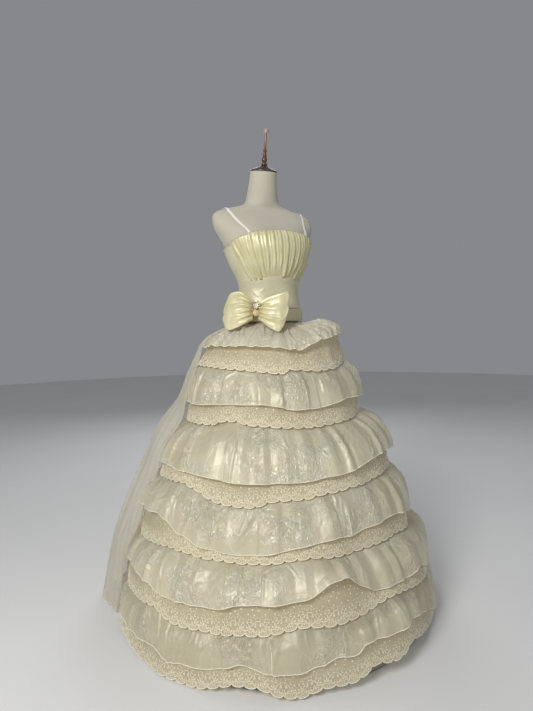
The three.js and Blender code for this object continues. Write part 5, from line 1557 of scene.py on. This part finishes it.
def build_overlay():
    cols, rows = 540, 48
    u = np.linspace(0, 1, cols)[:, None]
    deg = lerp(100.3, 259.7, u)
    # rows: from the waist over the first tier, then down
    zs = np.concatenate([[1067, 1052, 1036, 1018, 1002], np.linspace(985, 9, rows - 5)])[None, :]
    w = on_lining(deg, 1067, 0.8)
    r1, z1, _, _ = hem_at(0, deg)
    R = np.zeros((cols, rows))
    out = ease(OVERLAY[:, 0], OVERLAY[:, 1], np.minimum(zs, 985)) + ease(OVERLAY[:, 0], OVERLAY[:, 2], np.minimum(zs, 985)) * np.cos((deg - SWING) * RAD)
    top = ease([0, .28, .62, 1.0], [0, .40, .80, 1.0], step(1067, 985, zs) * 0 + np.clip((1067 - zs) / (1067 - 985), 0, 1))
    # its front edges are drawn in against the tiers, and it stands out just behind them
    inside = np.minimum(deg - 100.3, 259.7 - deg)
    snug = step(13, 1, inside)
    out = out + 24 * bump(inside, 17, 42) * step(960, 700, zs) + 7 * np.sin(inside * 0.95 + 0.6) * step(34, 4, inside) * step(900, 500, zs)
    R = np.where(zs > 985, lerp(w, ease(OVERLAY[:, 0], OVERLAY[:, 1], 985.0) + 14 * np.cos((deg - SWING) * RAD) + 5, top) - 12 * snug * top, out + 5)
    near = ease([5, 86, 178, 240, 348, 408, 519, 582, 725, 791, 908, 985], [622, 606, 590, 574, 522, 507, 456, 442, 352, 338, 292, 268], np.minimum(zs, 985)) + 17 * np.cos((deg - SWING) * RAD) + 4
    R = np.where(zs > 985, R, lerp(R, np.minimum(R, near), snug))
    # pleats: 39 round the back, uneven in width and depth, some of them meeting on the way down
    depth = np.interp(zs, OVERLAY[::-1, 0], OVERLAY[::-1, 3])
    depth = np.where(zs > 985, lerp(2.2, 1.8, top), depth)
    fall = (1067 - zs) / 1059
    warp = u * 39 + 0.55 * noise1(u * 9, 161) + 0.30 * noise(np.stack([u * 14 + 0 * zs, fall * 2.2 + 0 * u, 0 * u + 0 * zs + .3], -1), 162)
    amp = 0.65 + 0.6 * noise(np.stack([u * 17 + 0 * zs, fall * 1.6 + 0 * u, 0 * u + 0 * zs + .7], -1), 163)
    wave = np.sin(2 * np.pi * warp) + 0.28 * np.sin(4 * np.pi * warp + 1.1)
    R = R + depth * np.clip(amp, 0.15, 1.4) * wave * 0.8
    # the fine gathers at the waist
    R = R + 1.2 * np.sin(2 * np.pi * u * 118 + 2 * noise1(u * 30, 164)) * np.exp(-(1067 - zs) / 60)
    P = place(deg, R, np.broadcast_to(zs, R.shape), skirt_c(zs))
    P[..., 2] = np.maximum(P[..., 2] + np.where(zs < 30, 0.004 * noise1(u * 26, 165), 0), 0.0035)
    D = lengths_down(P)
    row = P[:, -1]
    s = np.concatenate([[0], np.cumsum(np.linalg.norm(np.diff(row, axis=0), axis=1))])
    print("overlay", s[-1], D[:, -1].mean())
    ob = make("back_net", P, grid_faces(cols, rows), SHEER, np.stack([np.broadcast_to(s[:, None], R.shape), -D], -1))
    return shown(ob, "back_overlay")


OVER = build_overlay()

# ---------------------------------------------------------------- bow
BOW_AT, BOW_R, BOW_Z, BOW_LEAN = -43, 139, 1104, 13
away = np.array([math.sin(BOW_AT * RAD), -math.cos(BOW_AT * RAD), 0])
along = np.array([math.cos(BOW_AT * RAD), math.sin(BOW_AT * RAD), 0])
upward = np.array([0, 0, math.cos(BOW_LEAN * RAD)]) - away * math.sin(BOW_LEAN * RAD)
facing = np.cross(along, upward)
bow_at = np.array([BOW_R * away[0], BOW_R * away[1] - 8, BOW_Z])


def bow_points(x, y, z):
    """Points in metres from the bow's own mm: along the belt, up, and off the body."""
    x, y, z = np.broadcast_arrays(x, y, z)
    return (bow_at + x[..., None] * along + y[..., None] * upward + z[..., None] * facing) * MM


# distance from the knot, distance from the body, top and bottom, in order round the loop
LOOP = {
    -1: np.array([
        (10, 17, 38, -30), (34, 26, 56, -47), (66, 32, 70, -64), (96, 29, 66, -71), (117, 20, 47, -60), (128, 12, 18, -38),
        (118, 5, 44, -57), (96, 3, 61, -66), (66, 2.8, 63, -58), (34, 2.8, 49, -42), (10, 3.4, 32, -26),
    ], float),
    1: np.array([
        (10, 17, 26, -30), (34, 25, 34, -48), (64, 31, 42, -68), (92, 28, 51, -79), (110, 19, 61, -58), (120, 12, 66, -16),
        (113, 5, 70, -36), (92, 3, 66, -62), (64, 2.8, 60, -58), (34, 2.8, 50, -42), (10, 3.4, 35, -26),
    ], float),
}
# folds that fan out of the knot: where on the strip (0 bottom, 1 top), width, height in mm, reach in mm
FANS = {
    -1: [(.10, .05, 6.0, 38), (.26, .055, 10.0, 70), (.43, .04, 10.0, 34), (.59, .055, 12.0, 86), (.79, .065, 11.0, 48), (.94, .035, 4.0, 30)],
    1: [(.12, .055, 9.0, 44), (.30, .05, 11.0, 90), (.47, .04, 9.0, 30), (.65, .065, 12.4, 62), (.88, .05, 7.4, 38)],
}


def build_loop(name, side, node):
    rows, across = 110, 64
    table = LOOP[side]
    k = np.arange(len(table))
    seg = np.hypot(np.diff(table[:, 0]), np.diff(table[:, 1]))
    s = np.concatenate([[0], np.cumsum(seg)])
    ss = np.linspace(0, s[-1], rows)
    kk = np.interp(ss, s, k)
    x, z, top, low = (ease(k, table[:, c], kk)[:, None] for c in range(4))
    t = np.linspace(0, 1, across)[None, :]
    front = step(0.60, 0.46, ss / s[-1])[:, None]  # 1 on the face, 0 on the back layer
    lin = x + 0 * t
    # the tip is rounded at its corners, and pulled in a little at the middle
    corner = 1 - 0.05 * np.abs(2 * t - 1) ** 4 * step(60, 121, lin)
    X = x * corner - 3.0 * np.exp(-((t - 0.5) / 0.2) ** 2) * step(80, 121, lin)
    Y = low + (top - low) * t
    h = np.zeros(X.shape)
    for at, w, high, reach in FANS[side]:
        # the folds lean apart and widen away from the knot
        wob = at + 0.02 * np.sin(lin / 15 + at * 30) + (at - 0.5) * 0.10 * (lin / 110)
        wide = w * (0.75 + 0.9 * lin / 110)
        prof = np.exp(-((t - wob) / wide) ** 2)
        h += high * prof * np.exp(-((lin - 26) / (reach * 0.75)) ** 2 * (lin > 26)) * step(10, 24, lin)
        h -= 0.45 * high * np.exp(-((t - wob - 1.8 * w) / (0.8 * w)) ** 2) * np.exp(-(lin / reach) ** 2)
    h *= front
    swell = 7.5 * np.sin(np.pi * t) * np.sin(np.pi * np.clip(lin / 125, 0, 1)) * front
    # two wide soft dents across the outer half
    for at, out, w, lean, deep in ((0.36, 84, 13, 30, 2.4), (0.72, 66, 11, -26, 2.0)):
        across_it = (lin - out) + lean * (t - at)
        swell = swell - deep * np.exp(-(across_it / w) ** 2 - ((t - at) / 0.24) ** 2) * front
    h = h + swell + 1.9 * noise(np.stack([X / 34 + side, Y / 30, 0 * X + front], -1), 171) + 0.5 * noise(np.stack([X / 13, Y / 13 + side, 0 * X], -1), 172)
    Z = z + 0 * t
    P = bow_points(side * X, Y, Z)
    N = grid_normals(P)
    # the strip's outer side: away from the loop's own hollow
    middle = bow_points(np.array(side * 70.0), np.array(0.0), np.array(13.0))
    if ((P[rows // 4, across // 2] - middle) * N[rows // 4, across // 2]).sum() < 0:
        N = -N
        flip = True
    else:
        flip = False
    P = P + N * (h * MM)[..., None]
    if side == 1:
        pass
    if flip:
        P = P[:, ::-1]
    ob = shell(name, P, 0.0011, BOWSATIN)
    return shown(ob, node)


LOOPS = [build_loop("bow_side_right", -1, "bow_loop_right"), build_loop("bow_side_left", 1, "bow_loop_left")]


def build_knot():
    n, rows = 96, 40
    a = (2 * np.pi * np.arange(n) / n)[:, None]
    t = np.linspace(0.02, 0.98, rows)[None, :]
    y = 18 * np.cos(np.pi * t)
    r = 10.6 * np.sin(np.pi * t) ** 0.7
    # gathers run over the knot, pulled in by the stitches
    g = 1.1 * ridged(noise(np.stack([np.cos(a) * 3.4 + 0 * t, np.sin(a) * 3.4 + 0 * t, 0 * a + y / 60], -1), 181)) + 0.9 * np.sin(a * 13 + 1.2 * np.sin(y / 9)) * np.sin(np.pi * t)
    pinch = 1 - 0.10 * np.exp(-((y - 2) / 7) ** 2)
    rr = (r + g) * pinch
    x = rr * np.sin(a)
    z = 12.5 + 0.85 * rr * np.cos(a) * 1.0
    P = bow_points(x, y - 1, z)
    c = bow_points(np.array([0.0]), np.array([-1.0]), np.array([12.5]))[0]
    V = np.concatenate([P.reshape(-1, 3), bow_points(np.array([0.0, 0.0]), np.array([17.3, -19.3]), np.array([12.5, 12.5]))])
    i = np.arange(n)
    k = (i + 1) % n
    F = grid_faces(n, rows, True)
    caps = np.concatenate([
        np.stack([np.full(n, n * rows), i * rows, k * rows], -1),
        np.stack([np.full(n, n * rows + 1), k * rows + rows - 1, i * rows + rows - 1], -1),
    ])
    # outward faces: check one against the middle
    A = P[0, rows // 2] - c
    nn = np.cross(P[0, rows // 2 + 1] - P[0, rows // 2], P[1, rows // 2] - P[0, rows // 2])
    if A @ nn < 0:
        F, caps = F[:, ::-1], caps[:, ::-1]
    return shown(make("bow_middle", V, [F, caps], BOWSATIN), "bow_knot")


KNOT = build_knot()


def build_flap():
    """A short pointed end of satin that stands up behind the knot."""
    u = np.linspace(-1, 1, 28)[:, None]
    v = np.linspace(0, 1, 24)[None, :]
    half = 12.5 * (1 - v) ** 0.75 + 0.4
    x = 4 + u * half + 5 * v
    y = 13 + 23 * v + 2.0 * (1 - u ** 2) * (1 - v)
    z = 19 + 7 * np.sin(np.pi * v * 0.55) - 3.5 * v + 2.2 * np.cos(u * 5.2) * (1 - v) + 1.2 * np.sin(u * 9 + 3 * v)
    P = bow_points(x, y, z)[:, ::-1]
    return shown(shell("bow_end", P, 0.0010, BOWSATIN))


FLAP = build_flap()


def stone_material():
    m = Nodes("clear_stone")
    ob = m.coords("Object")
    tone = m.ramp(m.noise(ob, 160, 2), [(0.3, rgb(c255(150, 146, 140))), (0.8, rgb(c255(206, 204, 198)))])
    n = m.bump(m.noise(ob, 700, 1), 0.05, 0.0002)
    return m.done(m.principled(tone, 0.14, n, Metallic=0.35, Specular_IOR_Level=0.8))


def pearl_material():
    m = Nodes("pearl")
    ob = m.coords("Object")
    tone = m.ramp(m.noise(ob, 120, 2), [(0.3, rgb(c255(214, 204, 190))), (0.8, rgb(c255(228, 221, 210)))])
    n = m.bump(m.noise(ob, 260, 2), 0.04, 0.0002)
    return m.done(m.principled(tone, 0.18, n, Coat_Weight=0.8, Coat_Roughness=0.08, Sheen_Weight=0.2))


def setting_material():
    return metal("pin_setting", (110, 98, 72), (146, 132, 102), 0.3, 0.9)


STONE, PEARL, SETTING = stone_material(), pearl_material(), setting_material()


def ball(cx, cy, cz, r, rings=14, cols=24, squash=1.0):
    th = np.linspace(0, np.pi, rings)[None, :]
    ph = (2 * np.pi * np.arange(cols) / cols)[:, None]
    x, y, z = r * np.sin(th) * np.cos(ph), r * np.sin(th) * np.sin(ph), r * np.cos(th) * squash + 0 * ph
    P = bow_points(cx + x, cy + y, cz + z)
    return P.reshape(-1, 3), [grid_faces(cols, rings, True)]


def gem(cx, cy, cz, r, sides=8):
    """A faceted stone: table, crown and girdle."""
    a = 2 * np.pi * np.arange(sides) / sides
    b = a + np.pi / sides
    ringv = lambda q, rad, z: np.stack([cx + rad * np.cos(q), cy + rad * np.sin(q), np.full(sides, cz + z)], -1)
    V = np.concatenate([ringv(a, r, 0), ringv(b, r * 0.82, 0.42 * r), ringv(a, r * 0.55, 0.62 * r), [[cx, cy, cz + 0.64 * r]], ringv(a, r * 0.9, -0.4 * r)])
    i = np.arange(sides)
    k = (i + 1) % sides
    s = sides
    F = np.concatenate([
        np.stack([i, k, s + i], -1), np.stack([s + i, k, s + k], -1), np.stack([s + i, 2 * s + k, 2 * s + i], -1),
        np.stack([s + i, s + k, 2 * s + k], -1), np.stack([2 * s + i, 2 * s + k, np.full(s, 3 * s)], -1),
        np.stack([3 * s + 1 + i, 3 * s + 1 + k, k], -1), np.stack([3 * s + 1 + i, k, i], -1),
    ])
    P = bow_points(V[:, 0], V[:, 1], V[:, 2])
    return P, [F]


def build_brooch():
    base, mx, my = 26.9, 2.0, 17.0
    # a thin pierced plate, the stones in a ring on it and a pearl on its lower edge
    t = np.linspace(0, 1, 10)[None, :]
    a = (2 * np.pi * np.arange(48) / 48)[:, None]
    r = 0.2 + 12.2 * t + 0.8 * np.cos(8 * a) * t
    P = bow_points(mx + r * np.cos(a), my + r * np.sin(a), base + 1.0 - 1.2 * t ** 2 + 0 * a)
    plate = shell("brooch_plate", P[::-1], 0.0008, SETTING, True)
    stones = [gem(mx, my + 1.5, base + 1.6, 3.8, 10)]
    for i in range(8):
        q = (i * 45 + 20) * RAD
        stones.append(gem(mx + 7.8 * math.cos(q), my + 0.6 + 7.8 * math.sin(q), base + 1.3, 2.2))
    for i in range(8):
        q = (i * 45 - 2) * RAD
        stones.append(gem(mx + 11.8 * math.cos(q), my + 0.2 + 11.8 * math.sin(q), base + 0.9, 1.4, 6))
    V, F = joined(stones)
    gems = make("brooch_stones", V, F, STONE, smooth=False)
    V, F = joined([ball(mx + 4.6, my - 8.6, base + 3.0, 4.1, 18, 32)])
    pearl = make("brooch_pearl", V, F, PEARL)
    shown(plate, "brooch")
    shown(gems)
    shown(pearl)
    return plate, gems, pearl


PIN = build_brooch()

# ---------------------------------------------------------------- floor, light and camera
def build_floor():
    n = 48
    a = 2 * np.pi * np.arange(n) / n
    rings = [0.0, 1.5, 4.0, 9.0]
    V = [[0, 0, -0.0006]]
    for r in rings[1:]:
        V += [[r * math.cos(q), r * math.sin(q), -0.0006] for q in a]
    F3 = [[0, 1 + i, 1 + (i + 1) % n] for i in range(n)]
    F4 = []
    for k in range(2):
        o = 1 + k * n
        F4 += [[o + i, o + n + i, o + n + (i + 1) % n, o + (i + 1) % n] for i in range(n)]
    m = Nodes("pale_floor")
    ob = m.coords("Object")
    tone = m.ramp(m.noise(ob, 1.2, 3), [(0.3, (0.74, 0.74, 0.74)), (0.8, (0.77, 0.77, 0.77))])
    mat = m.done(m.principled(tone, 0.85, m.bump(m.noise(ob, 90, 2), 0.05, 0.001)))
    floor = make("floor", np.array(V), [np.array(F4), np.array(F3)], mat, smooth=False)
    return floor


FLOOR = build_floor()

world = bpy.data.worlds.new("studio")
bpy.context.scene.world = world
world.use_nodes = True
bg = world.node_tree.nodes.get("Background") or world.node_tree.nodes.new("ShaderNodeBackground")
bg.inputs["Color"].default_value = (0.80, 0.82, 0.86, 1)
bg.inputs["Strength"].default_value = 0.30


def area(name, spot, aim, size, power, colour=(1, 1, 1)):
    light = bpy.data.lights.new(name, "AREA")
    light.shape = "RECTANGLE"
    light.size, light.size_y = size
    light.energy = power
    light.color = colour
    ob = bpy.data.objects.new(name, light)
    bpy.context.scene.collection.objects.link(ob)
    ob.location = spot
    ob.rotation_mode = "QUATERNION"
    ob.rotation_quaternion = (Vector(aim) - Vector(spot)).to_track_quat("-Z", "Y")
    return ob


# key from the left of the camera and above, a weak fill from its right, a soft one from behind
area("key", (-2.4, -2.0, 2.5), (0, 0, 0.8), (1.1, 1.1), 95, (1.0, 0.99, 0.97))
area("fill", (2.2, -2.6, 1.6), (0, 0, 0.8), (2.2, 2.2), 12, (0.97, 0.98, 1.0))
area("back", (1.2, 3.0, 2.6), (0, 0, 0.9), (2.0, 2.0), 34, (1, 1, 1))

cam_data = bpy.data.cameras.new("camera")
cam_data.lens = 25.97
cam_data.sensor_width = 36
cam_data.clip_start, cam_data.clip_end = 0.05, 60
cam = bpy.data.objects.new("camera", cam_data)
bpy.context.scene.collection.objects.link(cam)
bpy.context.scene.camera = cam
pitch, roll, head = 3.65 * RAD, 1.1 * RAD, 25 * RAD
ahead = Vector((math.sin(head) * math.cos(pitch), math.cos(head) * math.cos(pitch), -math.sin(pitch)))
right = Vector((math.cos(head), -math.sin(head), 0))
above = right.cross(ahead)
cam_right = right * math.cos(roll) - above * math.sin(roll)
cam_up = above * math.cos(roll) + right * math.sin(roll)
m = Matrix.Identity(4)
for row in range(3):
    m[row][0], m[row][1], m[row][2] = cam_right[row], cam_up[row], -ahead[row]
    m[row][3] = (-0.8460, -1.7902, 1.065)[row]
cam.matrix_world = m

bpy.context.scene.view_settings.view_transform = "Standard"
bpy.context.scene.view_settings.look = "None"
